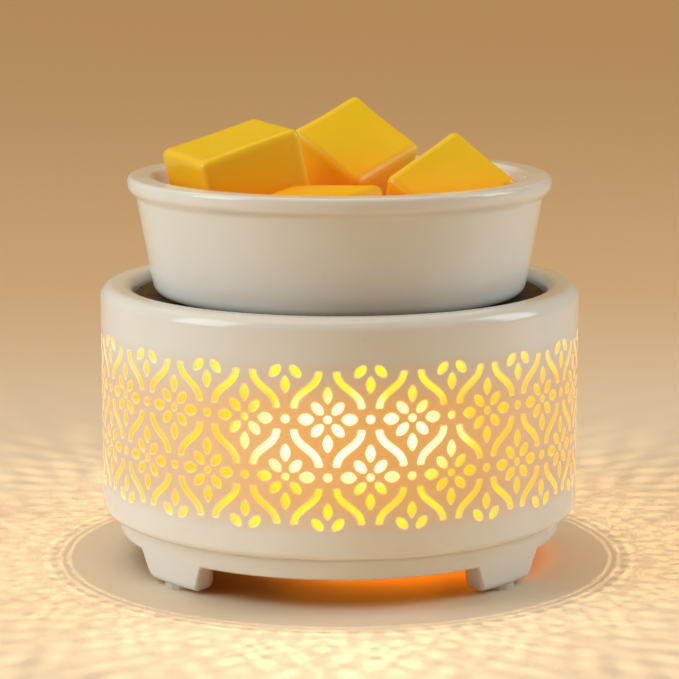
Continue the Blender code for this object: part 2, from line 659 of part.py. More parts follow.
def make_wax(finish):
    floor = Vector((0.0, 0.0, DISH_BOTTOM + DISH_FLOOR))
    for name, (middle, size, turn) in WAX_PILE.items():
        shape = bmesh.new()
        bmesh.ops.create_cube(shape, size=1.0)
        shape.transform(Matrix.Diagonal((*(Vector(size) * BOWL_RADIUS), 1.0)))
        cube = solid(name, shape, finish, smooth_angle=radians(80))
        cube.rotation_euler = Euler([radians(a) for a in turn])
        cube.location = floor + Vector(middle) * BOWL_RADIUS
        bevel = cube.modifiers.new("round", "BEVEL")
        bevel.width = WAX_ROUND
        bevel.segments = 2


# ================================================================ heating stack
def make_plate(finish):
    """Hot plate with four bosses under it, each with a blind hole for a tie rod."""
    profile = [(0.0, PLATE_BOTTOM), (PLATE_RADIUS, PLATE_BOTTOM), (PLATE_RADIUS, PLATE_TOP - CLEARANCE),
               (PLATE_RADIUS - CLEARANCE, PLATE_TOP), (0.0, PLATE_TOP)]
    segments = REPEATS * SEGMENTS_PER_REPEAT
    plate = solid("hot_plate", turned(profile, segments, closed=False, first_angle=PATTERN_START), finish)
    bosses = [cylinder(BOSS_RADIUS, BOSS_BOTTOM, PLATE_BOTTOM + PLATE_THICKNESS / 2, p) for p in rod_places()]
    holes = [cylinder(ROD_HOLE, BOSS_BOTTOM - PLATE_THICKNESS, BOSS_HOLE_TOP, p) for p in rod_places()]
    add(plate, solid("boss_tool", gathered(bosses), finish))
    cut(plate, solid("boss_cutter", gathered(holes), finish))


def make_stack(steel, mica, fibre, rubber):
    """Seal, heating disc, insulation and the cross-shaped clamp under them."""
    outer = PLATE_RADIUS - CLEARANCE
    seal = ring(outer - SEAL_WIDTH, outer, LEDGE_TOP + CLEARANCE, PLATE_BOTTOM - CLEARANCE,
                segments=INNER_SEGMENTS)
    solid("plate_seal", seal, rubber)
    heater = cylinder(HEATER_RADIUS, HEATER_BOTTOM, PLATE_BOTTOM - CLEARANCE, segments=INNER_SEGMENTS)
    solid("heater_element", heater, mica)
    pad = cylinder(HEATER_RADIUS, INSULATION_BOTTOM, HEATER_BOTTOM - CLEARANCE, segments=INNER_SEGMENTS)
    solid("insulation_disc", pad, fibre)
    w, h = CLAMP_WIDTH / 2, CLAMP_HALF_LENGTH
    cross = [(w, w), (w, h), (-w, h), (-w, w), (-h, w), (-h, -w), (-w, -w), (-w, -h), (w, -h), (w, -w),
             (h, -w), (h, w)]
    clamp = lofted([[(x, y, z) for x, y in cross] for z in (CLAMP_BOTTOM, CLAMP_BOTTOM + CLAMP_THICKNESS)])
    clamp.transform(Matrix.Rotation(pi / 4, 4, "Z"))
    plate = solid("heater_clamp", clamp, steel)
    below, above = CLAMP_BOTTOM - CLAMP_THICKNESS, CLAMP_BOTTOM + 2 * CLAMP_THICKNESS
    holes = [cylinder(ROD_HOLE, below, above, place) for place in rod_places()]
    cut(plate, solid("clamp_cutter", gathered(holes), steel))


def make_rods(steel):
    """Rods from the plate's bosses to the base, with a nut at the clamp and one under the cover."""
    low_nut = FLOOR_BOTTOM - CLEARANCE - NUT_HEIGHT
    high_nut = CLAMP_BOTTOM - CLEARANCE - NUT_HEIGHT
    for i, place in enumerate(rod_places()):
        rod = cylinder(ROD_RADIUS, low_nut - ROD_STAND_OUT, BOSS_HOLE_TOP - CLEARANCE, place)
        solid(f"tie_rod_{i + 1}", rod, steel)
        solid(f"tie_nut_{i + 1}", nut(ROD_HOLE, NUT_ACROSS_CORNERS, low_nut, NUT_HEIGHT, place), steel)
        solid(f"clamp_nut_{i + 1}", nut(ROD_HOLE, NUT_ACROSS_CORNERS, high_nut, NUT_HEIGHT, place), steel)


def make_cutouts(plastic, steel):
    """Thermostat under the middle of the clamp, and the thermal fuse under one arm."""
    top = CLAMP_BOTTOM - CLEARANCE
    bottom, r = top - THERMOSTAT_HEIGHT, THERMOSTAT_RADIUS
    profile = [(0.0, bottom), (r * 0.8, bottom), (r * 0.8, bottom + THERMOSTAT_HEIGHT * 0.6),
               (r, bottom + THERMOSTAT_HEIGHT * 0.6), (r, top), (0.0, top)]
    solid("thermostat", turned(profile, SMALL_SEGMENTS, closed=False), plastic)
    half = FUSE_LENGTH / 2
    body = [(0.0, -half), (FUSE_RADIUS * 0.5, -half), (FUSE_RADIUS, -half + FUSE_RADIUS),
            (FUSE_RADIUS, half - FUSE_RADIUS), (FUSE_RADIUS * 0.5, half), (0.0, half)]
    fuse = along_x(turned(body, SMALL_SEGMENTS, closed=False), Vector((FUSE_DISTANCE, 0.0, top - FUSE_RADIUS)))
    fuse.transform(Matrix.Rotation(3 * pi / 4, 4, "Z"))
    solid("thermal_fuse", fuse, steel)


# ================================================================ lamp
def make_lamp(glass, brass, steel, plastic):
    """Tubular bulb along X, its cap and filament, and the holder on its bracket."""
    r, straight = BULB_RADIUS, BULB_STRAIGHT_END_X
    nose = BULB_TIP_X + r
    neck_end = NECK_START_X + NECK_LENGTH
    outside = [(0.0, BULB_TIP_X)] + [(r * sin(t), nose - r * cos(t)) for t in (pi / 6, pi / 3, pi / 2)]
    outside += [(r, straight), (NECK_RADIUS, NECK_START_X), (NECK_RADIUS, neck_end)]
    wall = GLASS_WALL
    inside = [(NECK_RADIUS - wall, neck_end), (NECK_RADIUS - wall, NECK_START_X), (r - wall, straight)]
    inside += [((r - wall) * sin(t), nose - (r - wall) * cos(t)) for t in (pi / 2, pi / 3, pi / 6)]
    inside.append((0.0, BULB_TIP_X + wall))
    bulb = along_x(turned(outside + inside, 16, closed=False), LAMP_AXIS)
    solid("lamp_glass", bulb, glass)
    make_cap(brass)
    make_holder(plastic, steel)
    spread = NECK_RADIUS / 2
    middle = (nose + straight) / 2
    legs = [(neck_end - wall, -spread, 0), (straight, -spread, 0), (middle, -spread, spread), (nose, -spread, spread),
            (nose - wall, 0, spread), (nose, spread, spread), (middle, spread, spread), (straight, spread, 0),
            (neck_end - wall, spread, 0)]
    wire("lamp_filament", [LAMP_AXIS + Vector(p) for p in legs], steel, steps=2, radius=WIRE_RADIUS / 2)


def make_cap(finish):
    """Metal cap that holds the bulb's neck, closed at its far end."""
    start = NECK_START_X + CAP_SETBACK
    end = start + CAP_LENGTH
    bore = NECK_RADIUS + CLEARANCE
    profile = [(0.0, end), (bore, end), (bore + CAP_WALL, end - CAP_WALL), (bore + CAP_WALL, start), (bore, start),
               (bore, end - 2 * CAP_WALL), (0.0, end - 2 * CAP_WALL)]
    solid("lamp_cap", along_x(turned(profile, 16, closed=False), LAMP_AXIS), finish)


def holder_start():
    return BRACKET_X - CLEARANCE - HOLDER_LENGTH


def make_holder(plastic, steel):
    """Lamp holder with its stem through the bracket, the ring nut, the bracket and its screws."""
    start, face = holder_start(), BRACKET_X - CLEARANCE
    bore = NECK_RADIUS + CLEARANCE + CAP_WALL + LOOSE_FIT
    bottom = start + HOLDER_BORE_DEPTH
    stem_end = BRACKET_X + HOLDER_STEM_LENGTH
    profile = [(0.0, bottom), (bore, bottom), (bore, start), (HOLDER_RADIUS, start), (HOLDER_RADIUS, face),
               (HOLDER_STEM_RADIUS, face), (HOLDER_STEM_RADIUS, stem_end), (0.0, stem_end)]
    solid("lamp_holder", along_x(turned(profile, 16, closed=False), LAMP_AXIS), plastic)
    back = BRACKET_X + BRACKET_THICKNESS + CLEARANCE
    hole = HOLDER_STEM_RADIUS + HOLE_FIT
    ring_nut = ring(hole, HOLDER_NUT_RADIUS, back, back + HOLDER_NUT_LENGTH)
    solid("holder_nut", along_x(ring_nut, LAMP_AXIS), plastic)
    y = -LAMP_FORWARD - BRACKET_WIDTH / 2
    foot, top = FLOOR_TOP + CLEARANCE, LAMP_HEIGHT + BRACKET_ABOVE_LAMP
    t = BRACKET_THICKNESS
    side = [(BRACKET_X + t - BRACKET_FOOT, foot), (BRACKET_X + t, foot), (BRACKET_X + t, top), (BRACKET_X, top),
            (BRACKET_X, foot + t), (BRACKET_X + t - BRACKET_FOOT, foot + t)]
    shape = lofted([[(x, depth, z) for x, z in side] for depth in (y + BRACKET_WIDTH, y)])
    bracket = solid("lamp_bracket", shape, steel)
    cutters = [along_x(cylinder(hole, BRACKET_X - t, BRACKET_X + 2 * t), LAMP_AXIS)]
    cutters += [cylinder(SCREW_RADIUS + HOLE_FIT, foot - t, foot + 2 * t, place) for place in screw_places()]
    cut(bracket, solid("bracket_cutter", gathered(cutters), steel))
    head = foot + t + CLEARANCE
    for i, (x, depth) in enumerate(screw_places()):
        profile = [(0.0, FLOOR_BOTTOM), (SCREW_RADIUS, FLOOR_BOTTOM), (SCREW_RADIUS, head), (SCREW_HEAD_RADIUS, head),
                   (SCREW_HEAD_RADIUS * 0.8, head + SCREW_HEAD_HEIGHT), (0.0, head + SCREW_HEAD_HEIGHT)]
        screw = turned(profile, SMALL_SEGMENTS, closed=False)
        screw.transform(Matrix.Translation((x, depth, 0.0)))
        solid(f"bracket_screw_{i + 1}", screw, steel)


def make_sleeve(finish):
    """Frosted liner between the base's ring and the drum's ledge, just behind the cut-outs."""
    outer = DRUM_INNER - LOOSE_FIT
    sleeve = ring(outer - SLEEVE_THICKNESS, outer, UPSTAND_TOP + CLEARANCE, LEDGE_BOTTOM - CLEARANCE,
                  segments=REPEATS * SEGMENTS_PER_REPEAT)
    solid("light_sleeve", sleeve, finish)


# ================================================================ wiring
def block_hole(index):
    """Place of one of the four wire holes in the top of the terminal block."""
    return BLOCK_PLACE.x, BLOCK_PLACE.y + BLOCK_SIZE.y * (index - 1.5) / 4


def make_wiring(plastic, red, white):
    """Terminal block on the bottom cover, and the leads from the lamp and the heater down to it."""
    bottom = FLOOR_TOP + CLEARANCE
    top = bottom + BLOCK_SIZE.z
    low = Vector((*BLOCK_PLACE, bottom)) - Vector((BLOCK_SIZE.x / 2, BLOCK_SIZE.y / 2, 0))
    block = solid("terminal_block", box(low, low + BLOCK_SIZE), plastic)
    depth = BLOCK_SIZE.z / 2
    holes = [cylinder(2 * WIRE_RADIUS, top - depth, top + depth, block_hole(i), 8) for i in range(4)]
    cut(block, solid("block_cutter", gathered(holes), plastic))
    end = top - depth + 2 * CLEARANCE
    route = UPSTAND_RADIUS - UPSTAND_WALL - 6 * WIRE_RADIUS
    for i in range(2):
        side = 2 * i - 1
        start = LAMP_AXIS + Vector((BRACKET_X + HOLDER_STEM_LENGTH + CLEARANCE, side * 2 * WIRE_RADIUS, 0))
        level = UPSTAND_TOP + (4 + 3 * i) * WIRE_RADIUS
        x, y = block_hole(2 + i)
        points = [start, start + Vector((2 * WIRE_RADIUS, 0, -WIRE_RADIUS)),
                  start + Vector((3 * WIRE_RADIUS, 0, (level - start.z) / 2))]
        points += [(route * cos(radians(a)), route * sin(radians(a)), level) for a in (0, 30, 60, 90, 120, 146)]
        points += [(x, y, top + 5 * WIRE_RADIUS), (x, y, end)]
        wire(f"lamp_lead_{i + 1}", points, (red, white)[i])
        x, y = block_hole(i)
        level = (HEATER_BOTTOM + PLATE_BOTTOM - CLEARANCE) / 2
        angle = pi - 4 * WIRE_RADIUS * side / HEATER_RADIUS
        points = [(r * cos(angle), r * sin(angle), z) for r, z in
                  ((HEATER_RADIUS + 2 * CLEARANCE, level), (HEATER_RADIUS + 3 * WIRE_RADIUS, level - WIRE_RADIUS),
                   (HEATER_RADIUS + 5 * WIRE_RADIUS, level - 8 * WIRE_RADIUS))]
        points += [(x, y, (level + top) / 2), (x, y, top + 5 * WIRE_RADIUS), (x, y, end)]
        wire(f"heater_lead_{i + 1}", points, (red, white)[i])


# ================================================================ the whole warmer
def make_warmer():
    glaze = material("ivory_glaze", (0.86, 0.82, 0.74), 0.18)
    bisque = material("matt_ivory", (0.80, 0.77, 0.70), 0.45)
    plate = material("dark_plate", (0.10, 0.065, 0.045), 0.45)
    wax = material("yellow_wax", (0.93, 0.62, 0.03), 0.35)
    steel = material("zinc_steel", (0.60, 0.60, 0.58), 0.35, metallic=1.0)
    brass = material("brass", (0.75, 0.58, 0.28), 0.30, metallic=1.0)
    glass = material("frosted_glass", (0.95, 0.93, 0.88), 0.30)
    sleeve = material("frosted_liner", (0.98, 0.80, 0.35), 0.50)
    mica = material("mica", (0.45, 0.38, 0.28), 0.60)
    fibre = material("ceramic_fibre", (0.88, 0.87, 0.83), 0.90)
    rubber = material("silicone", (0.62, 0.56, 0.47), 0.60)
    phenolic = material("black_phenolic", (0.04, 0.04, 0.04), 0.40)
    red = material("red_insulation", (0.55, 0.06, 0.04), 0.45)
    white = material("white_insulation", (0.85, 0.85, 0.82), 0.45)
    make_shell(glaze)
    make_base(bisque)
    make_cover(steel)
    make_pads(rubber)
    make_gland(phenolic)
    make_dish(glaze)
    make_wax(wax)
    make_plate(plate)
    make_stack(steel, mica, fibre, rubber)
    make_rods(steel)
    make_cutouts(phenolic, steel)
    make_lamp(glass, brass, steel, phenolic)
    make_sleeve(sleeve)
    make_wiring(phenolic, red, white)


start_fresh()
make_warmer()
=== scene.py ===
# %% [markdown]
# # Electric wax warmer
#
# The warmer is a pierced ceramic drum with a lamp inside, a heated plate in its top and a
# lift-off dish of wax cubes. The CAD model brings every piece in its right place and size.
# Here the surfaces that show are made again, finer and smoother, and every finish is built
# from shader nodes, so that nothing needs a picture file.

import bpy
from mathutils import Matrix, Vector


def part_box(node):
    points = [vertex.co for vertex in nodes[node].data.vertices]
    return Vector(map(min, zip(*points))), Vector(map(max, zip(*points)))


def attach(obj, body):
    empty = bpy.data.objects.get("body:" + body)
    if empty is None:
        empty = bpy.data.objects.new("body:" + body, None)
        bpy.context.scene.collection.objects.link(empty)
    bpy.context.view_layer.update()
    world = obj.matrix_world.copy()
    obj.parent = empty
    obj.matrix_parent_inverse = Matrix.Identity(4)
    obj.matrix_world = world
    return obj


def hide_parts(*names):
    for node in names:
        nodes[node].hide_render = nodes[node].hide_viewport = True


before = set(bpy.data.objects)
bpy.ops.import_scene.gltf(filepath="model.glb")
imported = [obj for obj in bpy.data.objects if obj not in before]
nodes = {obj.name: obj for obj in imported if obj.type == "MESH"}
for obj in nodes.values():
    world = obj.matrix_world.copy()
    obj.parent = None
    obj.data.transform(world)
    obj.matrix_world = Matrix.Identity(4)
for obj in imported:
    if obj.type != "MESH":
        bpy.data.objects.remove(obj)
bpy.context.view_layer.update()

import math

import bpy
import numpy as np
from mathutils import Vector
from mathutils.geometry import delaunay_2d_cdt

# %% [markdown]
# ## Meshes from arrays
#
# A mesh can be modelled by hand, grown from modifiers or worked out as numbers. The pieces
# of this warmer are turned or moulded, so their shapes are short formulas, and numpy works
# out all the points at once. One helper puts such arrays into Blender.

# %% Arrays into a mesh
MM = 0.001


def put_mesh(name, points, *face_sets):
    """Mesh from points in metres and arrays of faces, each row the corners of one face."""
    corners = np.concatenate([np.ravel(faces) for faces in face_sets]).astype(np.int32)
    sides = np.concatenate([np.full(len(faces), np.shape(faces)[1]) for faces in face_sets])
    starts = (np.cumsum(sides) - sides).astype(np.int32)
    mesh = bpy.data.meshes.new(name)
    mesh.vertices.add(len(points))
    mesh.vertices.foreach_set("co", np.asarray(points, np.float32).ravel())
    mesh.loops.add(len(corners))
    mesh.loops.foreach_set("vertex_index", corners)
    mesh.polygons.add(len(sides))
    mesh.polygons.foreach_set("loop_start", starts)
    mesh.polygons.foreach_set("use_smooth", np.ones(len(sides), bool))
    mesh.update(calc_edges=True)
    mesh.validate()
    return mesh


def put_piece(mesh, body, finish, replaced=()):
    """Object at the origin that wears a finish, rides a body and stands for CAD pieces."""
    piece = bpy.data.objects.new(mesh.name, mesh)
    bpy.context.scene.collection.objects.link(piece)
    mesh.materials.append(finish.material)
    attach(piece, body)
    if replaced:
        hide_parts(*replaced)
    triangles = sum(len(face.vertices) - 2 for face in mesh.polygons)
    print(f"{mesh.name}: {len(mesh.vertices)} points, {triangles} triangles")
    return piece


# %% Turned shapes
def bend(middle, radius, start, end, steps):
    """Arc of a circle: middle plus radius times (cosine, sine) of an evenly turning angle."""
    turn = np.radians(np.linspace(start, end, steps))
    return np.column_stack([middle[0] + radius * np.cos(turn), middle[1] + radius * np.sin(turn)])


def sweep(profiles, angles):
    """Profiles (radius, height), one for each angle, joined into a closed surface round Z.

    A point is (radius times cosine, radius times sine, height). Each profile is a closed
    loop, so the surface closes both along the profile and round the axis.
    """
    count, along = profiles.shape[:2]
    points = np.stack([profiles[..., 0] * np.cos(angles)[:, None],
                       profiles[..., 0] * np.sin(angles)[:, None], profiles[..., 1]], axis=2)
    here, there = np.arange(count), (np.arange(count) + 1) % count
    step = (np.arange(along) + 1) % along
    first = here[:, None] * along + np.arange(along)
    second = there[:, None] * along + np.arange(along)
    faces = np.stack([first, second, there[:, None] * along + step, here[:, None] * along + step], axis=2)
    return points.reshape(-1, 3), faces.reshape(-1, 4)


def turned(profile, segments):
    """Profile (radius, height) from the axis round to the axis, turned about Z.

    The two ends lie on the axis and become one point each, joined by a fan of triangles.
    """
    angles = np.arange(segments) * 2 * np.pi / segments
    body = profile[1:-1]
    along = len(body)
    ring = np.stack([body[:, 0] * np.cos(angles)[:, None], body[:, 0] * np.sin(angles)[:, None],
                     np.broadcast_to(body[:, 1], (segments, along))], axis=2).reshape(-1, 3)
    points = np.vstack([ring, [[0, 0, profile[0, 1]], [0, 0, profile[-1, 1]]]])
    here, there = np.arange(segments) * along, (np.arange(segments) + 1) % segments * along
    across = np.arange(along - 1)
    quads = np.stack([here[:, None] + across, there[:, None] + across,
                      there[:, None] + across + 1, here[:, None] + across + 1], axis=2).reshape(-1, 4)
    start, end = len(ring), len(ring) + 1
    fans = np.vstack([np.column_stack([np.full(segments, start), there, here]),
                      np.column_stack([np.full(segments, end), here + along - 1, there + along - 1])])
    return points, quads, fans


# %% [markdown]
# ## Finishes from sums
#
# A shader is a chain of nodes. Written as nodes, even a small sum is long, so a wrapper lets
# Python's own signs add the Math nodes: `1 - mask` becomes a Subtract node. Textures, ramps
# and colour mixes come from one method that takes a node's type, settings and inputs.

# %% Shader maths
class Socket:
    """Output of a shader node. Sums on it add Math nodes."""

    def __init__(self, finish, output):
        self.finish = finish
        self.output = output

    def maths(self, operation, *values):
        inputs = dict(enumerate(values))
        return self.finish.node("ShaderNodeMath", {"operation": operation}, inputs)

    def __add__(self, other):
        return self.maths("ADD", self, other)

    def __sub__(self, other):
        return self.maths("SUBTRACT", self, other)

    def __rsub__(self, other):
        return self.maths("SUBTRACT", other, self)

    def __mul__(self, other):
        return self.maths("MULTIPLY", self, other)

    def __truediv__(self, other):
        return self.maths("DIVIDE", self, other)

    __radd__ = __add__
    __rmul__ = __mul__

    def rising(self, low, high):
        """0 below low, 1 above high, and a smooth step between them."""
        settings = {"interpolation_type": "SMOOTHSTEP"}
        return self.finish.node("ShaderNodeMapRange", settings, {0: self, 1: low, 2: high, 3: 0.0, 4: 1.0})


class Finish:
    """A material whose nodes feed one Principled shader."""

    def __init__(self, name, **constants):
        self.material = bpy.data.materials.new(name)
        self.material.use_nodes = True
        self.tree = self.material.node_tree
        self.shader = self.tree.nodes["Principled BSDF"]
        for name, value in constants.items():
            self.shader.inputs[name.replace("_", " ")].default_value = value

    def node(self, kind, settings=None, inputs=None, output=0):
        made = self.tree.nodes.new(kind)
        for name, value in (settings or {}).items():
            if name == "stops":
                self.stops(made.color_ramp, value)
            else:
                setattr(made, name, value)
        for name, value in (inputs or {}).items():
            if isinstance(value, Socket):
                self.tree.links.new(value.output, made.inputs[name])
            else:
                made.inputs[name].default_value = value
        return Socket(self, made.outputs[output])

    def stops(self, ramp, stops):
        while len(ramp.elements) < len(stops):
            ramp.elements.new(1.0)
        for element, (place, colour) in zip(ramp.elements, stops):
            element.position = place
            element.color = (*colour, 1.0)

    def feed(self, **sockets):
        for name, value in sockets.items():
            self.tree.links.new(value.output, self.shader.inputs[name.replace("_", " ")])

    def place(self):
        """Object coordinates, in metres from the origin."""
        return self.node("ShaderNodeTexCoord", output="Object")

    def axes(self):
        place = self.place()
        return [self.node("ShaderNodeSeparateXYZ", None, {0: place}, axis) for axis in range(3)]

    def noise(self, scale, detail=2.0, roughness=0.5, stretch=(1, 1, 1)):
        place = self.node("ShaderNodeVectorMath", {"operation": "MULTIPLY"}, {0: self.place(), 1: stretch})
        inputs = {"Vector": place, "Scale": scale, "Detail": detail, "Roughness": roughness}
        return self.node("ShaderNodeTexNoise", None, inputs)

    def blend(self, factor, one, other):
        """Colour between one, at 0, and other, at 1."""
        inputs = {0: factor, 6: one if isinstance(one, Socket) else (*one, 1.0),
                  7: other if isinstance(other, Socket) else (*other, 1.0)}
        return self.node("ShaderNodeMix", {"data_type": "RGBA"}, inputs, 2)

    def bump(self, height, depth):
        """Normal from a height, 0 to 1, that stands for a depth in metres."""
        return self.node("ShaderNodeBump", None, {"Strength": 1.0, "Distance": depth, "Height": height})


# %% [markdown]
# ## Ivory glaze
#
# The drum, dish and base are slip-cast earthenware under a thick ivory glaze. A glaze is
# glassy, so it is a smooth shader with a low roughness, and what makes it look fired and not
# like plastic is that nothing in it is even: the tone drifts, the surface pools and ripples
# a little, and there are a few pinholes and specks. Noise at three sizes gives all of that.

# %% Glaze
IVORY = (0.80, 0.785, 0.755)
IVORY_DEEP = (0.77, 0.74, 0.69)
SPECK = (0.50, 0.40, 0.28)


def glaze(name, gloss=0.10):
    made = Finish(name, IOR=1.50, Coat_Roughness=0.05)
    drift = made.noise(22.0, 3.0).rising(0.35, 0.70)
    speck = made.noise(420.0, 2.0).rising(0.735, 0.775)
    tone = made.blend(drift, IVORY, IVORY_DEEP)
    tone = made.blend(speck * 0.12, tone, SPECK)
    made.feed(Base_Color=tone, Roughness=made.noise(45.0, 3.0) * 0.08 + gloss)
    ripple = made.noise(70.0, 2.0) * 0.7 + made.noise(330.0, 2.0) * 0.06
    made.feed(Normal=made.bump(ripple, 0.00022))
    return made, tone


drum_glaze, drum_tone = glaze("drum_glaze")
dish_glaze, dish_tone = glaze("dish_glaze", gloss=0.08)
base_glaze, base_tone = glaze("base_glaze", gloss=0.18)

# %% [markdown]
# ## Pierced drum
#
# The band is cut with 19 repeats of a lattice: flowers of eight petals round a dot in two
# staggered rows, half flowers along both edges, and leaning strokes between them. On the
# real drum the holes are punched out of the wet clay, which leaves rounded edges. Boolean
# cuts would be slow and rough here, so the outlines are worked out as loops, the flat land
# between them is triangulated, and rings of faces round each hole make the soft edge and
# the wall down to the inside.

# %% Sizes of the drum
low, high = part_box("ceramic_shell")
DRUM_RADIUS = high.x
DRUM_BOTTOM, DRUM_TOP = low.z, high.z
DRUM_INNER = 60.5 * MM
RIM_OPENING = 56.3 * MM
LEDGE_TOP, LEDGE_BOTTOM = DRUM_TOP - 6.1 * MM, DRUM_TOP - 9.1 * MM
LEDGE_RADIUS = 50.5 * MM
BAND_BOTTOM, BAND_TOP = DRUM_BOTTOM + 6.2 * MM, LEDGE_BOTTOM - 0.5 * MM
REPEATS = 19
FIRST = math.radians(-92.6)
COLUMNS = 12 * REPEATS
ROW_DROP = (BAND_TOP - BAND_BOTTOM) / 3.09
UPPER_ROW = (BAND_TOP + BAND_BOTTOM + ROW_DROP) / 2
LOWER_ROW = UPPER_ROW - ROW_DROP
EDGE = 0.25 * MM                    # rounding of each hole's edge
HALO = 0.36 * MM                    # ring of land round the rounding
print(f"rows {ROW_DROP / MM:.2f} mm apart, {2 * math.pi * DRUM_RADIUS / REPEATS / MM:.2f} mm a repeat")


# %% Outlines of the holes
def oval(width, height, turn, points, grow, power):
    """Rounded lozenge: each half-axis times a power of the cosine or sine, then turned."""
    t = (np.arange(points) + 0.5) * 2 * np.pi / points
    across = (width / 2 + grow) * np.sign(np.cos(t)) * np.abs(np.cos(t)) ** (2 / power)
    up = (height / 2 + grow) * np.sign(np.sin(t)) * np.abs(np.sin(t)) ** (2 / power)
    c, s = math.cos(turn), math.sin(turn)
    return np.column_stack([across * c - up * s, across * s + up * c])


def stroke(lean, grow):
    """Leaning S: its middle line is a sum of two sines of the height, and both sides lie
    half a thickness from it, square to the line. The ends are cut flat with soft corners."""
    half_width, half_height, thickness, wave = 3.15 * MM, 4.70 * MM, 1.75 * MM, 1 / 16
    half_height += grow
    t = np.linspace(-1, 1, 11)
    t[0], t[-1] = -1 + 0.35 * MM / half_height, 1 - 0.35 * MM / half_height
    middle = half_width * ((1 + wave) * np.sin(np.pi * t / 2) + wave * np.sin(3 * np.pi * t / 2))
    slope = (1 + wave) * np.cos(np.pi * t / 2) + 3 * wave * np.cos(3 * np.pi * t / 2)
    slope = half_width * np.pi / 2 * slope
    long = np.hypot(slope, half_height)
    side = (thickness / 2 + grow) * np.column_stack([half_height / long, -slope / long])
    line = np.column_stack([middle, half_height * t])
    soft = 0.62 * (thickness / 2 + grow)
    top = [[line[-1, 0] + soft, half_height], [line[-1, 0] - soft, half_height]]
    outline = np.vstack([line + side, top, (line - side)[::-1], -np.array(top)])
    return outline if lean > 0 else (outline * [-1, 1])[::-1]


def petals(across, up, turn=0.0):
    """Sizes of the three kinds of petal: pointed, round and slanted."""
    if turn:
        return lambda grow: oval(3.95 * MM, 2.40 * MM, turn, 14, grow, 1.80) + [across, up]
    if across:
        return lambda grow: oval(3.85 * MM, 2.90 * MM, 0.0, 16, grow, 1.72) + [across, up]
    return lambda grow: oval(2.45 * MM, 4.45 * MM, 0.0, 16, grow, 1.55) + [across, up]


def dot(size):
    return lambda grow: oval(size, size, 0.0, 10, grow, 2.0)


# %% One repeat of the lattice
def lattice():
    """(column in repeats, height, outline) of every hole in one repeat."""
    holes = []
    slant = math.atan2(2.8, 2.6)
    for column, row in ((0.0, UPPER_ROW), (0.5, LOWER_ROW)):
        holes.append((column, row, dot(2.0 * MM)))
        holes += [(column, row, petals(side * 5.5 * MM, 0.0)) for side in (-1, 1)]
    for column, row, ups in ((0.0, UPPER_ROW, (-1, 1)), (0.5, LOWER_ROW, (-1, 1)),
                             (0.5, UPPER_ROW + ROW_DROP, (-1,)), (0.0, LOWER_ROW - ROW_DROP, (1,))):
        for up in ups:
            holes.append((column, row, petals(0.0, up * 6.2 * MM)))
            holes += [(column, row, petals(side * 2.6 * MM, up * 2.8 * MM, up * side * slant))
                      for side in (-1, 1)]
    holes += [(0.5, UPPER_ROW, dot(2.2 * MM)), (0.0, LOWER_ROW, dot(2.2 * MM))]
    for height, lean in ((UPPER_ROW + ROW_DROP / 2, -1), (UPPER_ROW - ROW_DROP / 2, 1),
                         (LOWER_ROW - ROW_DROP / 2, -1)):
        holes.append((0.25, height, lambda grow, lean=lean: stroke(lean, grow)))
        holes.append((0.75, height, lambda grow, lean=lean: stroke(-lean, grow)))
    return holes


holes = lattice()
print(len(holes), "holes in a repeat,", len(holes) * REPEATS, "in the drum")


# %% Loops round the whole drum
def loops(grow):
    """Angle and height of every outline point, the whole way round, with outlines grown."""
    pieces = [outline(grow) + [column * 2 * np.pi * DRUM_RADIUS / REPEATS, height]
              for column, height, outline in holes]
    one = np.vstack(pieces)
    turns = FIRST + np.arange(REPEATS)[:, None] * 2 * np.pi / REPEATS
    return (one[:, 0] / DRUM_RADIUS + turns).ravel(), np.tile(one[:, 1], REPEATS)


lengths = np.tile([len(outline(0.0)) for _, _, outline in holes], REPEATS)
starts = np.cumsum(lengths) - lengths
hole_of = np.repeat(np.arange(len(lengths)), lengths)
count = len(hole_of)
place = np.arange(count)
after = starts[hole_of] + (place - starts[hole_of] + 1) % lengths[hole_of]
before = starts[hole_of] + (place - starts[hole_of] - 1) % lengths[hole_of]
print(count, "outline points")


# %% Land between the holes
def flat(angle, height):
    """Unrolls the drum without bending its small shapes: the distance from the middle
    shrinks with the height as e to the power of minus height over radius."""
    far = np.exp(-(height - BAND_BOTTOM) / DRUM_RADIUS)
    return np.column_stack([far * np.cos(angle), far * np.sin(angle)])


halo_angle, halo_height = loops(HALO)
ring_angle = FIRST + np.arange(COLUMNS) * 2 * np.pi / COLUMNS
plane = np.vstack([flat(ring_angle, BAND_BOTTOM), flat(ring_angle, BAND_TOP),
                   flat(halo_angle, halo_height)])
loop_lists = [list(range(COLUMNS)), list(range(COLUMNS, 2 * COLUMNS))]
loop_lists += [list(range(2 * COLUMNS + s, 2 * COLUMNS + s + n)) for s, n in zip(starts, lengths)]
result = delaunay_2d_cdt([Vector(p) for p in plane], [], loop_lists, 0, 1e-7)
origin = np.array([group[0] for group in result[3]])
land = np.array([face for face, owners in zip(result[2], result[5]) if list(owners) == [0]])
land = origin[land]
corner = plane[land]
side_a, side_b = corner[:, 1] - corner[:, 0], corner[:, 2] - corner[:, 0]
flipped = side_a[:, 0] * side_b[:, 1] - side_a[:, 1] * side_b[:, 0] < 0
land[flipped] = land[flipped][:, ::-1]
print(len(land), "triangles of land")


# %% Drum surface
def wrap(angle, height, radius):
    return np.column_stack([radius * np.cos(angle), radius * np.sin(angle), height])


def rings(profile):
    """Rings of points round the drum, one for each (radius, height) of a profile."""
    return np.vstack([wrap(ring_angle, np.full(COLUMNS, z), r) for r, z in profile])


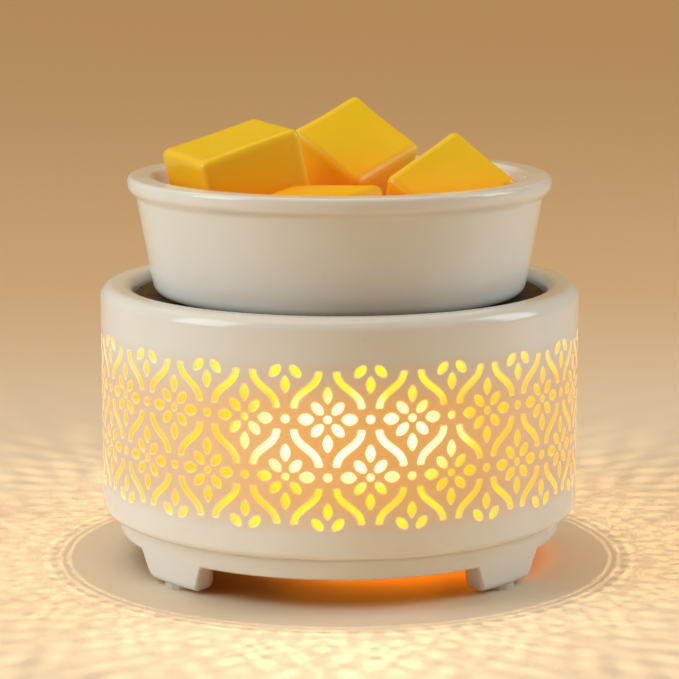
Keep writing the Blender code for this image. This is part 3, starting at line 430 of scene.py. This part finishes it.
levels = [(HALO, 0.0), (0.0, 0.0), (-EDGE * 0.71, EDGE * 0.29), (-EDGE, EDGE),
          (-EDGE, DRUM_RADIUS - DRUM_INNER)]
walls = []
for grow, depth in levels:
    angle, height = loops(grow)
    walls.append(wrap(angle, height, DRUM_RADIUS - depth))
shoulder = 3.6 * MM
rim = np.vstack([bend((DRUM_RADIUS - shoulder, DRUM_TOP - shoulder), shoulder, 0, 90, 12),
                 np.column_stack([RIM_OPENING + 2.9 * MM * (1 - np.sin(np.linspace(0, np.pi / 2, 9))),
                                  DRUM_TOP - 3.1 * MM * (1 - np.cos(np.linspace(0, np.pi / 2, 9)))]),
                 bend((RIM_OPENING - 0.4 * MM, LEDGE_TOP + 0.4 * MM), 0.4 * MM, 0, -90, 4),
                 bend((LEDGE_RADIUS + 0.5 * MM, LEDGE_TOP - 0.5 * MM), 0.5 * MM, 90, 180, 4),
                 bend((LEDGE_RADIUS + 0.5 * MM, LEDGE_BOTTOM + 0.5 * MM), 0.5 * MM, 180, 270, 4),
                 [[DRUM_INNER, LEDGE_BOTTOM]]])
foot_round = 2.2 * MM
foot = np.vstack([bend((DRUM_RADIUS - foot_round, DRUM_BOTTOM + foot_round), foot_round, 0, -90, 8),
                  [[DRUM_INNER + 0.3 * MM, DRUM_BOTTOM], [DRUM_INNER, DRUM_BOTTOM + 0.3 * MM]]])
outer_rings = rings([(DRUM_RADIUS, BAND_BOTTOM), (DRUM_RADIUS, BAND_TOP)])
inner_rings = rings([(DRUM_INNER, BAND_BOTTOM), (DRUM_INNER, BAND_TOP)])
drum_points = np.vstack([outer_rings, *walls, inner_rings, rings(rim), rings(foot)])
wall_start = 2 * COLUMNS + np.arange(len(levels)) * count
inner_start = 2 * COLUMNS + len(levels) * count
rim_start = inner_start + 2 * COLUMNS
foot_start = rim_start + len(rim) * COLUMNS


# %% Faces of the drum
def strip(first, second, follow):
    """Quads between two rings, whose point i is followed by the point follow[i]."""
    here = np.arange(len(follow))
    return np.column_stack([first + here, first + follow, second + follow, second + here])


round_on = (np.arange(COLUMNS) + 1) % COLUMNS
hole_walls = np.vstack([strip(a, b, after) for a, b in zip(wall_start, wall_start[1:])])
inside = land.copy()
in_hole = inside >= 2 * COLUMNS
inside[in_hole] += wall_start[-1] - wall_start[0]
inside[~in_hole] += inner_start
rim_rings = [COLUMNS] + [rim_start + i * COLUMNS for i in range(len(rim))] + [inner_start + COLUMNS]
foot_rings = [0] + [foot_start + i * COLUMNS for i in range(len(foot))] + [inner_start]
turned_part = [strip(a, b, round_on) for a, b in zip(rim_rings, rim_rings[1:])]
turned_part += [strip(b, a, round_on) for a, b in zip(foot_rings, foot_rings[1:])]
drum_mesh = put_mesh("drum", drum_points, land, inside[:, ::-1], hole_walls, *turned_part)

# %% Smooth edges on the drum
radial = np.column_stack([np.cos(halo_angle), np.sin(halo_angle), np.zeros(count)])
bare_angle, bare_height = loops(0.0)
along = np.column_stack([(bare_angle[after] - bare_angle[before]) * DRUM_RADIUS,
                         bare_height[after] - bare_height[before]])
along /= np.linalg.norm(along, axis=1)[:, None]
into = np.column_stack([along[:, 1] * np.sin(halo_angle), -along[:, 1] * np.cos(halo_angle), along[:, 0]])
slanted = (radial + into) / math.sqrt(2)
ring_out = np.column_stack([np.cos(ring_angle), np.sin(ring_angle), np.zeros(COLUMNS)])
point_normal = np.zeros((len(drum_points), 3))
point_normal[:inner_start] = np.vstack([ring_out, ring_out, radial, radial, slanted, into, into])
corners = np.empty(len(drum_mesh.loops), np.int32)
drum_mesh.loops.foreach_get("vertex_index", corners)
corner_normal = point_normal[corners]
skin = slice(land.size, 2 * land.size)
inner_angle = np.arctan2(drum_points[corners[skin], 1], drum_points[corners[skin], 0])
corner_normal[skin] = np.column_stack([-np.cos(inner_angle), -np.sin(inner_angle),
                                       np.zeros(len(inner_angle))])
drum_mesh.normals_split_custom_set(corner_normal)
glow = np.zeros(len(drum_points), np.float32)
for start, amount in zip(wall_start, (0.16, 0.60, 0.85, 1.0, 1.0)):
    glow[start:start + count] = amount
drum_mesh.attributes.new("glow", "FLOAT", "POINT").data.foreach_set("value", glow)
drum = put_piece(drum_mesh, "root", drum_glaze, ["ceramic_shell"])

# %% [markdown]
# ## Painted light in the ceramic
#
# Thin glazed ceramic lets a little lamp light through, and the walls of the holes catch the
# rest. That light is painted: the rings round each hole carry a number called glow, 1 on the
# wall and less on the land, and the glaze gives off painted warm light in proportion to it and
# to how near the lamp is, white-hot in front of the bulb. The land round the holes is painted
# a darker, more orange colour near the lamp, as painted shade and lamp tint.

# %% Warm light near the lamp
x, y, z = drum_glaze.axes()
LAMP_X, LAMP_Z = 0.003, 0.045
sideways = (x - LAMP_X) * (x - LAMP_X) / 0.046 ** 2
upwards = (z - LAMP_Z) * (z - LAMP_Z) / 0.024 ** 2
near = (sideways + upwards + y.rising(-0.02, 0.03) * 3.0) * -0.7
lamp_near = near.maths("EXPONENT", near)
hole_glow = drum_glaze.node("ShaderNodeAttribute", {"attribute_name": "glow"}, None, "Fac")
# Painted shade and lamp tint: the land round the holes is painted darker, more orange near the lamp.
painted_land_shade = drum_glaze.blend(lamp_near, (0.66, 0.55, 0.46), (0.60, 0.35, 0.14))
fade = z.rising(0.019, 0.030) * (1 - z.rising(0.052, 0.067))
drum_glaze.feed(Base_Color=drum_glaze.blend(hole_glow.rising(0.0, 0.15) * (fade * 0.75 + 0.1), drum_tone, painted_land_shade))
on_land = drum_glaze.blend(lamp_near, (0.02, 0.010, 0.002), (0.40, 0.17, 0.020))
on_wall = drum_glaze.blend(lamp_near, (0.60, 0.27, 0.008), (0.78, 0.40, 0.022))
# Painted light: a white-hot patch on the hole walls in front of the bulb.
hot = 1 - ((x - LAMP_X) * (x - LAMP_X) / 0.027 ** 2 + (z - LAMP_Z) * (z - LAMP_Z) / 0.0105 ** 2
           + y.rising(-0.02, 0.03) * 9.0).rising(0.35, 1.5)
on_wall = drum_glaze.blend(hot, on_wall, (1.6, 1.2, 0.50))
land_light = drum_glaze.blend(hole_glow.rising(0.0, 0.15) * fade, (0.0, 0.0, 0.0), on_land)
drum_glaze.feed(Emission_Color=drum_glaze.blend(hole_glow.rising(0.17, 0.80), land_light, on_wall))
drum_glaze.shader.inputs["Emission Strength"].default_value = 1.0

# %% [markdown]
# ## Dish
#
# The dish is turned: a flat bottom, a wall that leans out, and a rolled lip. It could be
# spun in the viewport, but a profile in numbers keeps its true wall, and short arcs at the
# corners give the glaze the edges that catch the light.

# %% Dish
low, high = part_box("wax_dish")
DISH_BOTTOM, DISH_TOP, LIP = low.z, high.z, high.x
NECK, BASE, BOWL, FLOOR = 54.9 * MM, 50.8 * MM, 49.9 * MM, 4.8 * MM
neck_height = DISH_TOP - 6.2 * MM
t = np.linspace(0, 1, 9)
cove = np.column_stack([NECK + (LIP - NECK - 0.1 * MM) * t ** 2 * (3 - 2 * t), neck_height + 3.3 * MM * t])
lip_side = np.array([[LIP, DISH_TOP - 2.4 * MM], [LIP, DISH_TOP - 1.6 * MM]])
lip_round = bend((LIP - 1.2 * MM, DISH_TOP - 1.2 * MM), 1.2 * MM, 12, 90, 7)
slope = (NECK - BASE) / (neck_height - DISH_BOTTOM)
bowl_foot = BOWL - slope * (DISH_TOP - DISH_BOTTOM - FLOOR)
profile = np.vstack([[[0, DISH_BOTTOM], [30 * MM, DISH_BOTTOM]],
                     bend((BASE - 3.4 * MM, DISH_BOTTOM + 3.4 * MM), 3.4 * MM, -90, -4, 10),
                     cove, lip_side, lip_round,
                     [[BOWL + 2.2 * MM, DISH_TOP - 0.05 * MM]],
                     bend((BOWL + 1.6 * MM, DISH_TOP - 1.6 * MM), 1.6 * MM, 90, 176, 7),
                     bend((bowl_foot - 4.0 * MM, DISH_BOTTOM + FLOOR + 4.0 * MM), 4.0 * MM, 0, -90, 8),
                     [[20 * MM, DISH_BOTTOM + FLOOR], [0, DISH_BOTTOM + FLOOR]]])
dish = put_piece(put_mesh("dish", *turned(profile, 240)), "dish", dish_glaze, ["wax_dish"])

# %% [markdown]
# ## Base and feet
#
# The base is one moulding: a low skirt that runs down into four feet, with a groove between
# it and the drum. The feet could be separate blocks joined by a Boolean, but then the soft
# fillets would be missing. Here one profile goes round the axis and its lower edge dips at
# each foot along a smooth step, so skirt and foot flow into each other.

# %% Base
angles = np.arange(960) * 2 * np.pi / 960
from_side = np.abs((np.degrees(angles) + 90) % 180 - 90)
FOOT_FROM_SIDE = 41                 # degrees
from_foot = np.abs(from_side - FOOT_FROM_SIDE)
step = np.clip((from_foot - 8.9) / 3.6, 0, 1)
dip = 1 - step * step * (3 - 2 * step)
low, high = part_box("foot_base")
FOOT_DROP = 7.2 * MM
SKIRT_BOTTOM = low.z + FOOT_DROP
lowest = SKIRT_BOTTOM - FOOT_DROP * dip
outer = (60.3 - 1.0 * dip) * MM
inner = (56.0 - 4.2 * dip) * MM
round_off = (1.2 + 1.0 * dip) * MM
quarter = np.linspace(0, np.pi / 2, 7)


def fixed(pairs):
    """The same (radius, height) pairs, in millimetres above the skirt's lower edge, at every angle."""
    pairs = np.array(pairs) * MM + [0, SKIRT_BOTTOM]
    return np.broadcast_to(pairs, (len(angles), *pairs.shape))


inside_corner = np.stack([inner[:, None] + round_off[:, None] * (1 - np.cos(quarter)),
                          lowest[:, None] + round_off[:, None] * (1 - np.sin(quarter))], axis=2)
outside_corner = np.stack([outer[:, None] - round_off[:, None] * (1 - np.sin(quarter)),
                           lowest[:, None] + round_off[:, None] * (1 - np.cos(quarter))], axis=2)
profiles = np.concatenate([fixed([(51.3, 3.3), (51.3, 1.7), (51.45, 1.5)]), inside_corner, outside_corner,
                           fixed([(60.55, 2.2), (60.85, 4.6), (60.97, 5.55), (60.75, 5.82), (60.4, 5.9),
                                  (60.0, 6.0), (60.0, 11.5), (59.8, 11.7), (56.2, 11.7), (56.0, 11.5),
                                  (56.0, 5.3), (48.3, 5.3), (48.1, 5.1), (48.1, 3.5),
                                  (48.3, 3.3)])], axis=1)
base_mesh = put_mesh("base", *sweep(profiles, angles))
base = put_piece(base_mesh, "root", base_glaze, ["foot_base"])

# %% [markdown]
# ## Wax cubes
#
# The cubes are poured wax melts: soft-edged blocks, slightly sunk in the middle where they
# cooled, and piled at odd angles. Each is a box whose surface is pulled in to a rounding
# radius, which is the exact shape of a bevelled box without a bevel's uneven faces. The CAD
# block gives the size and the tilt.


# %% Tilt and size of a block
def block(node):
    """Middle, half sizes and axes of a CAD block, from its largest flat faces."""
    mesh = nodes[node].data
    area, normal = np.empty(len(mesh.polygons)), np.empty(len(mesh.polygons) * 3)
    mesh.polygons.foreach_get("area", area)
    mesh.polygons.foreach_get("normal", normal)
    normal = normal.reshape(-1, 3)
    first = normal[area.argmax()]
    square = area * (np.abs(normal @ first) < 0.05)
    second = normal[square.argmax()]
    axes = np.array([first, second, np.cross(first, second)])
    axes = axes[np.argsort(-np.abs(axes[:, 2]))]
    up = axes[0] * np.sign(axes[0, 2])
    axes = np.array([up, axes[1], np.cross(up, axes[1])])
    corner = np.empty(len(mesh.vertices) * 3)
    mesh.vertices.foreach_get("co", corner)
    along = corner.reshape(-1, 3) @ axes.T
    lowest, highest = along.min(axis=0), along.max(axis=0)
    return (lowest + highest) / 2 @ axes, (highest - lowest) / 2, axes


# %% Rounded block
def rounded_block(half, radius, steps=26):
    """Surface of a box with round edges: each point of a grid on the box is moved to within
    a radius of the inner box, along the line from the nearest point of that inner box."""
    t = np.linspace(-1, 1, steps)
    t = np.sign(t) * (1 - (1 - np.abs(t)) ** 1.7)
    u, v = np.meshgrid(t, t, indexing="ij")
    sheets, faces = [], []
    corner = np.arange(steps * steps).reshape(steps, steps)
    quad = np.stack([corner[:-1, :-1], corner[1:, :-1], corner[1:, 1:], corner[:-1, 1:]], axis=2)
    quad = quad.reshape(-1, 4)
    for axis in range(3):
        for side in (-1, 1):
            sheet = np.empty((steps, steps, 3))
            sheet[..., axis] = side
            sheet[..., (axis + 1) % 3], sheet[..., (axis + 2) % 3] = u, v
            faces.append((quad if side > 0 else quad[:, ::-1]) + len(sheets) * steps * steps)
            sheets.append(sheet.reshape(-1, 3))
    points = np.vstack(sheets)
    keys, index = np.unique(np.round(points, 6), axis=0, return_inverse=True)
    box = keys * half
    core = np.clip(box, -(half - radius), half - radius)
    out = box - core
    return core + radius * out / np.linalg.norm(out, axis=1)[:, None], index.ravel()[np.vstack(faces)], keys


wax = Finish("wax", Roughness=0.33, Subsurface_Weight=0.15, Subsurface_Scale=0.004, IOR=1.44,
             Subsurface_Radius=(1.0, 0.45, 0.08), Coat_Weight=0.10, Coat_Roughness=0.12)
for number in range(1, 7):
    name = f"wax_cube_{number}"
    middle, half, axes = block(name)
    local, faces, unit = rounded_block(half, 2.2 * MM)
    sunk = np.clip(1 - unit[:, 0] ** 4, 0, 1)
    dip = 0.35 * MM * (1 - unit[:, 1] ** 2) * (1 - unit[:, 2] ** 2)
    local[:, 0] -= np.sign(unit[:, 0]) * np.where(np.abs(unit[:, 0]) > 0.999, dip, 0)
    for a, b, c in ((0, 1, 2), (1, 2, 0), (2, 0, 1)):
        wave = np.sin(unit[:, b] * 2.6 + number) * np.cos(unit[:, c] * 2.1 - number)
        local[:, a] -= 0.16 * MM * (1 + wave) * unit[:, a]
    wax_mesh = put_mesh(f"wax_block_{number}", middle + local @ axes, faces)
    put_piece(wax_mesh, "dish", wax, [name])

# %% [markdown]
# ## Wax
#
# Wax is a cloudy solid: light enters, scatters and comes out warmer. Subsurface scattering
# gives the soft edges, and a height ramp paints the change of colour that the lamp under the
# dish makes: painted light and shade, deep orange on the lower parts and bright yellow on the
# tops. The wax also gives off a faint painted glow, strongest low down.

# %% Wax finish
x, y, z = wax.axes()
cloud = wax.noise(60.0, 3.0)
rise = z + (cloud - 0.5) * 0.006
# Painted light and shade: deep orange low on the cubes, bright yellow on top.
tone = wax.node("ShaderNodeValToRGB", {"stops": [(0.0, (0.62, 0.15, 0.003)), (0.30, (0.80, 0.33, 0.005)),
                                                (0.55, (0.87, 0.50, 0.007)), (1.0, (0.88, 0.60, 0.008))]},
                {0: rise.rising(0.086, 0.122)})
wax.feed(Base_Color=wax.blend(cloud.rising(0.45, 0.75) * 0.18, tone, (0.90, 0.64, 0.020)))
wax.feed(Roughness=wax.noise(140.0, 3.0) * 0.12 + 0.27)
wax.feed(Normal=wax.bump(wax.noise(90.0, 3.0) * 0.8 + wax.noise(420.0) * 0.10, 0.00030))
# Painted glow: the wax gives off faint warm light everywhere, more on its lower parts.
under = 1 - rise.rising(0.096, 0.112)
wax.feed(Emission_Color=wax.blend(under, (0.075, 0.030, 0.0), (0.38, 0.070, 0.002)))
wax.shader.inputs["Emission Strength"].default_value = 0.5

# %% [markdown]
# ## Liner and lamp
#
# Behind the lattice stands a frosted liner, and the lamp lies across the drum close behind
# its front. A frosted sheet lit from behind looks like a lamp itself, so the liner gives off
# painted light in place of the lamp's: white-hot in front of the bulb, yellow round it and
# amber at the sides.

# %% Liner
liner = Finish("liner", Roughness=0.6, Emission_Strength=1.0, Base_Color=(0.9, 0.62, 0.20, 1.0))
x, y, z = liner.axes()
across = (x - LAMP_X) * (x - LAMP_X) / 0.025 ** 2
up = (z - LAMP_Z) * (z - LAMP_Z) / 0.0100 ** 2
# Painted light: a white-hot patch on the liner in front of the bulb.
hot = 1 - (across + up + y.rising(-0.02, 0.03) * 9.0).rising(0.35, 1.9)
amber_side = (x * x).rising(0.020 ** 2, 0.058 ** 2)
yellow = liner.blend(amber_side, (0.84, 0.46, 0.034), (0.68, 0.28, 0.014))
cloud = liner.blend(liner.noise(60.0, 2.0).rising(0.3, 0.7) * 0.25, yellow, (0.72, 0.32, 0.012))
liner.feed(Emission_Color=liner.blend(hot, cloud, (2.0, 1.50, 0.70)))

# %% [markdown]
# ## The pieces that stay as CAD
#
# Screws, rods, plates and wires are already the right shape, so they keep their CAD mesh and
# only get a finish. Metals differ by grain and polish, rubbers and plastics by their tiny
# surface bumps, and the hot plate has a speckled heat-proof coating.


# %% Metals
def metal(name, light, dark, roughness, grain=(1, 1, 1)):
    made = Finish(name, Metallic=1.0)
    cloud = made.noise(260.0, 4.0, 0.6, grain)
    made.feed(Base_Color=made.blend(cloud, light, dark))
    made.feed(Roughness=made.noise(90.0, 3.0) * 0.18 + roughness)
    made.feed(Normal=made.bump(cloud, 0.00004))
    return made


zinc = metal("zinc_plate", (0.62, 0.62, 0.60), (0.50, 0.51, 0.50), 0.26)
brass = metal("brass_cap", (0.80, 0.60, 0.28), (0.68, 0.47, 0.19), 0.22)
sheet_steel = metal("sheet_steel", (0.58, 0.57, 0.55), (0.49, 0.48, 0.47), 0.30, (1, 1, 8))


# %% Plastics, rubber and mica
def moulded(name, colour, shade, roughness, size=300.0):
    made = Finish(name, IOR=1.47)
    grain = made.noise(size, 3.0)
    made.feed(Base_Color=made.blend(grain, colour, shade))
    made.feed(Roughness=made.noise(120.0, 2.0) * 0.15 + roughness)
    made.feed(Normal=made.bump(grain, 0.00005))
    return made


silicone = moulded("clear_silicone", (0.62, 0.56, 0.47), (0.54, 0.48, 0.40), 0.45, 800.0)
phenolic = moulded("black_phenolic", (0.045, 0.043, 0.041), (0.028, 0.027, 0.026), 0.35)
mica = moulded("mica_sheet", (0.66, 0.60, 0.50), (0.50, 0.44, 0.35), 0.50, 120.0)
fibre = moulded("ceramic_fibre", (0.80, 0.78, 0.72), (0.66, 0.63, 0.57), 0.85, 500.0)
red_wire = moulded("red_insulation", (0.56, 0.045, 0.030), (0.42, 0.030, 0.022), 0.38)
white_wire = moulded("white_insulation", (0.82, 0.81, 0.77), (0.70, 0.69, 0.65), 0.38)

# %% Hot plate
coating = Finish("plate_coating", IOR=1.20)
speckle = coating.noise(900.0, 3.0, 0.65)
patch = coating.noise(60.0, 3.0)
ground = coating.blend(patch.rising(0.35, 0.70), (0.060, 0.030, 0.013), (0.105, 0.056, 0.025))
coating.feed(Base_Color=coating.blend(speckle.rising(0.52, 0.66) * 0.6, ground, (0.22, 0.13, 0.062)))
coating.feed(Roughness=coating.noise(200.0, 3.0) * 0.2 + 0.55)
coating.feed(Normal=coating.bump(speckle, 0.00008))

# %% Bulb
bulb_glass = Finish("frosted_glass", Roughness=0.35, IOR=1.45, Emission_Strength=2.0,
                    Transmission_Weight=0.4)
frost = bulb_glass.noise(400.0, 2.0)
bulb_glass.feed(Base_Color=bulb_glass.blend(frost, (0.96, 0.93, 0.86), (0.90, 0.86, 0.76)))
bulb_glass.feed(Emission_Color=bulb_glass.blend(frost, (1.0, 0.72, 0.34), (1.0, 0.66, 0.27)))
filament = Finish("filament", Roughness=0.4, Emission_Strength=6.0)
turn = filament.noise(700.0, 2.0)
filament.feed(Base_Color=filament.blend(turn, (0.5, 0.42, 0.3), (0.4, 0.32, 0.22)))
filament.feed(Emission_Color=filament.blend(turn, (1.0, 0.75, 0.38), (1.0, 0.62, 0.22)))

# %% Put the finishes on
WEARS = {
    "light_sleeve": liner, "hot_plate": coating, "plate_seal": silicone, "heater_element": mica,
    "insulation_disc": fibre, "heater_clamp": sheet_steel, "thermostat": phenolic, "thermal_fuse": zinc,
    "lamp_glass": bulb_glass, "lamp_filament": filament, "lamp_cap": brass, "lamp_holder": phenolic,
    "holder_nut": phenolic, "lamp_bracket": sheet_steel, "bracket_screw": zinc, "terminal_block": phenolic,
    "lamp_lead_1": red_wire, "lamp_lead_2": white_wire, "heater_lead_1": red_wire,
    "heater_lead_2": white_wire,
    "tie_rod": zinc, "tie_nut": zinc, "clamp_nut": zinc, "foot_pad": silicone, "cord_gland": phenolic,
    "bottom_cover": sheet_steel, "ceramic_shell": drum_glaze, "wax_dish": dish_glaze,
    "foot_base": base_glaze, "wax_cube": wax,
}
for name, node in nodes.items():
    finish = WEARS.get(name) or WEARS[name.rsplit("_", 1)[0]]
    for place in node.material_slots:
        place.material = finish.material
print("finishes on", len(nodes), "CAD pieces")

# %% [markdown]
# ## Floor, light and camera
#
# The warmer stands on a pale warm surface that deepens to a light brown further back. Two large
# soft boxes light it, the left one stronger, and a warm sky fills the front. Three spot lamps,
# one above the other on the drum's axis, throw the pattern of the holes onto the floor. A thin
# lattice, unseen itself, is their shade, because the drum's thick wall would stop the steep
# light. An amber lamp under the base, with painted glow and shade in a dark amber patch on the
# floor under the base, makes the glow between the feet.

# %% Floor
surface = Finish("pale_floor", Roughness=0.55)
x, y, z = surface.axes()
far = ((x - 0.05) * (x - 0.05) * 0.35 + y * y)
far = far.maths("SQRT", far)
paper = surface.noise(30.0, 4.0)
near_tone = surface.blend(paper, (0.80, 0.68, 0.53), (0.76, 0.64, 0.50))
tone = surface.blend(far.rising(0.09, 0.50), near_tone, (0.72, 0.51, 0.32))
# Painted glow and shade: a dark amber patch on the floor under the base.
below = 1 - (x * x + y * y).rising(0.050 ** 2, 0.060 ** 2)
surface.feed(Base_Color=surface.blend(below, tone, (0.46, 0.22, 0.05)))
surface.feed(Roughness=paper * 0.1 + 0.5)
reach = 12.0
corner_points = np.array([[-reach, -reach, 0], [reach, -reach, 0], [reach, reach, 0], [-reach, reach, 0]])
floor_mesh = put_mesh("floor", corner_points, np.array([[0, 1, 2, 3]]))
floor_mesh.materials.append(surface.material)
floor = bpy.data.objects.new("floor", floor_mesh)
bpy.context.scene.collection.objects.link(floor)

# %% Sky
world = bpy.data.worlds.new("studio")
bpy.context.scene.world = world
world.use_nodes = True
sky = world.node_tree.nodes["Background"]
facing = world.node_tree.nodes.new("ShaderNodeTexCoord")
split = world.node_tree.nodes.new("ShaderNodeSeparateXYZ")
ramp = world.node_tree.nodes.new("ShaderNodeValToRGB")
across = world.node_tree.nodes.new("ShaderNodeMapRange")
across.inputs["From Min"].default_value = -1.0
world.node_tree.links.new(facing.outputs["Generated"], split.inputs[0])
world.node_tree.links.new(split.outputs["X"], across.inputs["Value"])
world.node_tree.links.new(across.outputs[0], ramp.inputs[0])
world.node_tree.links.new(ramp.outputs[0], sky.inputs["Color"])
SKY = [(0.0, (0.50, 0.50, 0.49)), (0.22, (0.50, 0.48, 0.45)), (0.44, (0.60, 0.33, 0.06)),
       (0.62, (0.60, 0.33, 0.06)), (0.84, (0.42, 0.39, 0.35)), (1.0, (0.42, 0.41, 0.39))]
while len(ramp.color_ramp.elements) < len(SKY):
    ramp.color_ramp.elements.new(1.0)
for element, (stop, colour) in zip(ramp.color_ramp.elements, SKY):
    element.position = stop
    element.color = (*colour, 1.0)
sky.inputs["Strength"].default_value = 0.65


# %% Soft boxes
def soft_box(name, place, size, power, colour, aim=(0.0, 0.0, 0.06)):
    light = bpy.data.lights.new(name, "AREA")
    light.shape = "RECTANGLE"
    light.size, light.size_y = size
    light.energy = power
    light.color = colour
    made = bpy.data.objects.new(name, light)
    made.location = place
    made.rotation_mode = "QUATERNION"
    made.rotation_quaternion = (Vector(aim) - Vector(place)).to_track_quat("-Z", "Y")
    bpy.context.scene.collection.objects.link(made)
    return made


soft_box("left_box", (-0.95, -0.35, 0.60), (0.55, 0.85), 7.2, (0.78, 0.95, 1.0))
soft_box("right_box", (1.0, 0.05, 0.55), (0.45, 0.80), 5.3, (0.78, 0.95, 1.0))

overhead = bpy.data.lights.new("overhead", "SUN")
overhead.energy = 0.95
overhead.angle = math.radians(60)
overhead.color = (1.0, 0.80, 0.56)
overhead_object = bpy.data.objects.new("overhead", overhead)
overhead_object.rotation_euler = (math.radians(-12), math.radians(-18), 0.0)
bpy.context.scene.collection.objects.link(overhead_object)

# %% Shade for the lamp light
def shade(name, points, faces):
    """Surface of the stage that casts shadows and is not seen."""
    made = bpy.data.objects.new(name, put_mesh(name, points, faces))
    made.data.materials.append(surface.material)
    made.visible_camera = made.visible_diffuse = made.visible_glossy = made.visible_transmission = False
    bpy.context.scene.collection.objects.link(made)
    return made


SHADE_RADIUS = 60.2 * MM
thin = drum_points[:2 * COLUMNS + count] * [SHADE_RADIUS / DRUM_RADIUS, SHADE_RADIUS / DRUM_RADIUS, 1]
lattice_shade = shade("lattice_shade", thin, land)
disc_angle = np.arange(48) * 2 * np.pi / 48
disc = wrap(disc_angle, np.full(48, 11.5 * MM), 55 * MM)
floor_shade = shade("floor_shade", disc, np.arange(48)[None])

# %% Lamp light on the floor
blockers = bpy.data.collections.new("lamp_blockers")
for blocker in (lattice_shade, floor_shade, base, nodes["bottom_cover"]):
    blockers.objects.link(blocker)
receivers = bpy.data.collections.new("lamp_receivers")
receivers.objects.link(floor)
for number, height in enumerate((0.078, 0.090, 0.102)):
    lamp = bpy.data.lights.new(f"lamp_{number}", "SPOT")
    lamp.energy = 0.30
    lamp.color = (1.0, 0.74, 0.42)
    lamp.shadow_soft_size = 0.0015
    lamp.spot_size = 2 * math.atan(SHADE_RADIUS / (height - BAND_TOP + 0.004))
    lamp.spot_blend = 0.05
    lamp_object = bpy.data.objects.new(lamp.name, lamp)
    lamp_object.location = (0.0, 0.0, height)
    lamp_object.light_linking.blocker_collection = blockers
    lamp_object.light_linking.receiver_collection = receivers
    lamp_object.visible_camera = False
    bpy.context.scene.collection.objects.link(lamp_object)

under = bpy.data.lights.new("under_glow", "AREA")
under.shape = "DISK"
under.size = 0.070
under.energy = 0.028
under.color = (1.0, 0.34, 0.015)
under_object = bpy.data.objects.new("under_glow", under)
under_object.location = (0.016, 0.0, 0.0086)
under_object.visible_camera = False
bpy.context.scene.collection.objects.link(under_object)

# %% Camera
camera = bpy.data.cameras.new("camera")
camera.lens = 135.34
camera.clip_start = 0.01
camera_object = bpy.data.objects.new("camera", camera)
camera_object.location = (0.0, -0.6883, 0.1823)
camera_object.rotation_euler = (math.radians(79.9), 0.0, 0.0)
bpy.context.scene.collection.objects.link(camera_object)
bpy.context.scene.camera = camera_object
bpy.context.scene.view_settings.view_transform = "Standard"
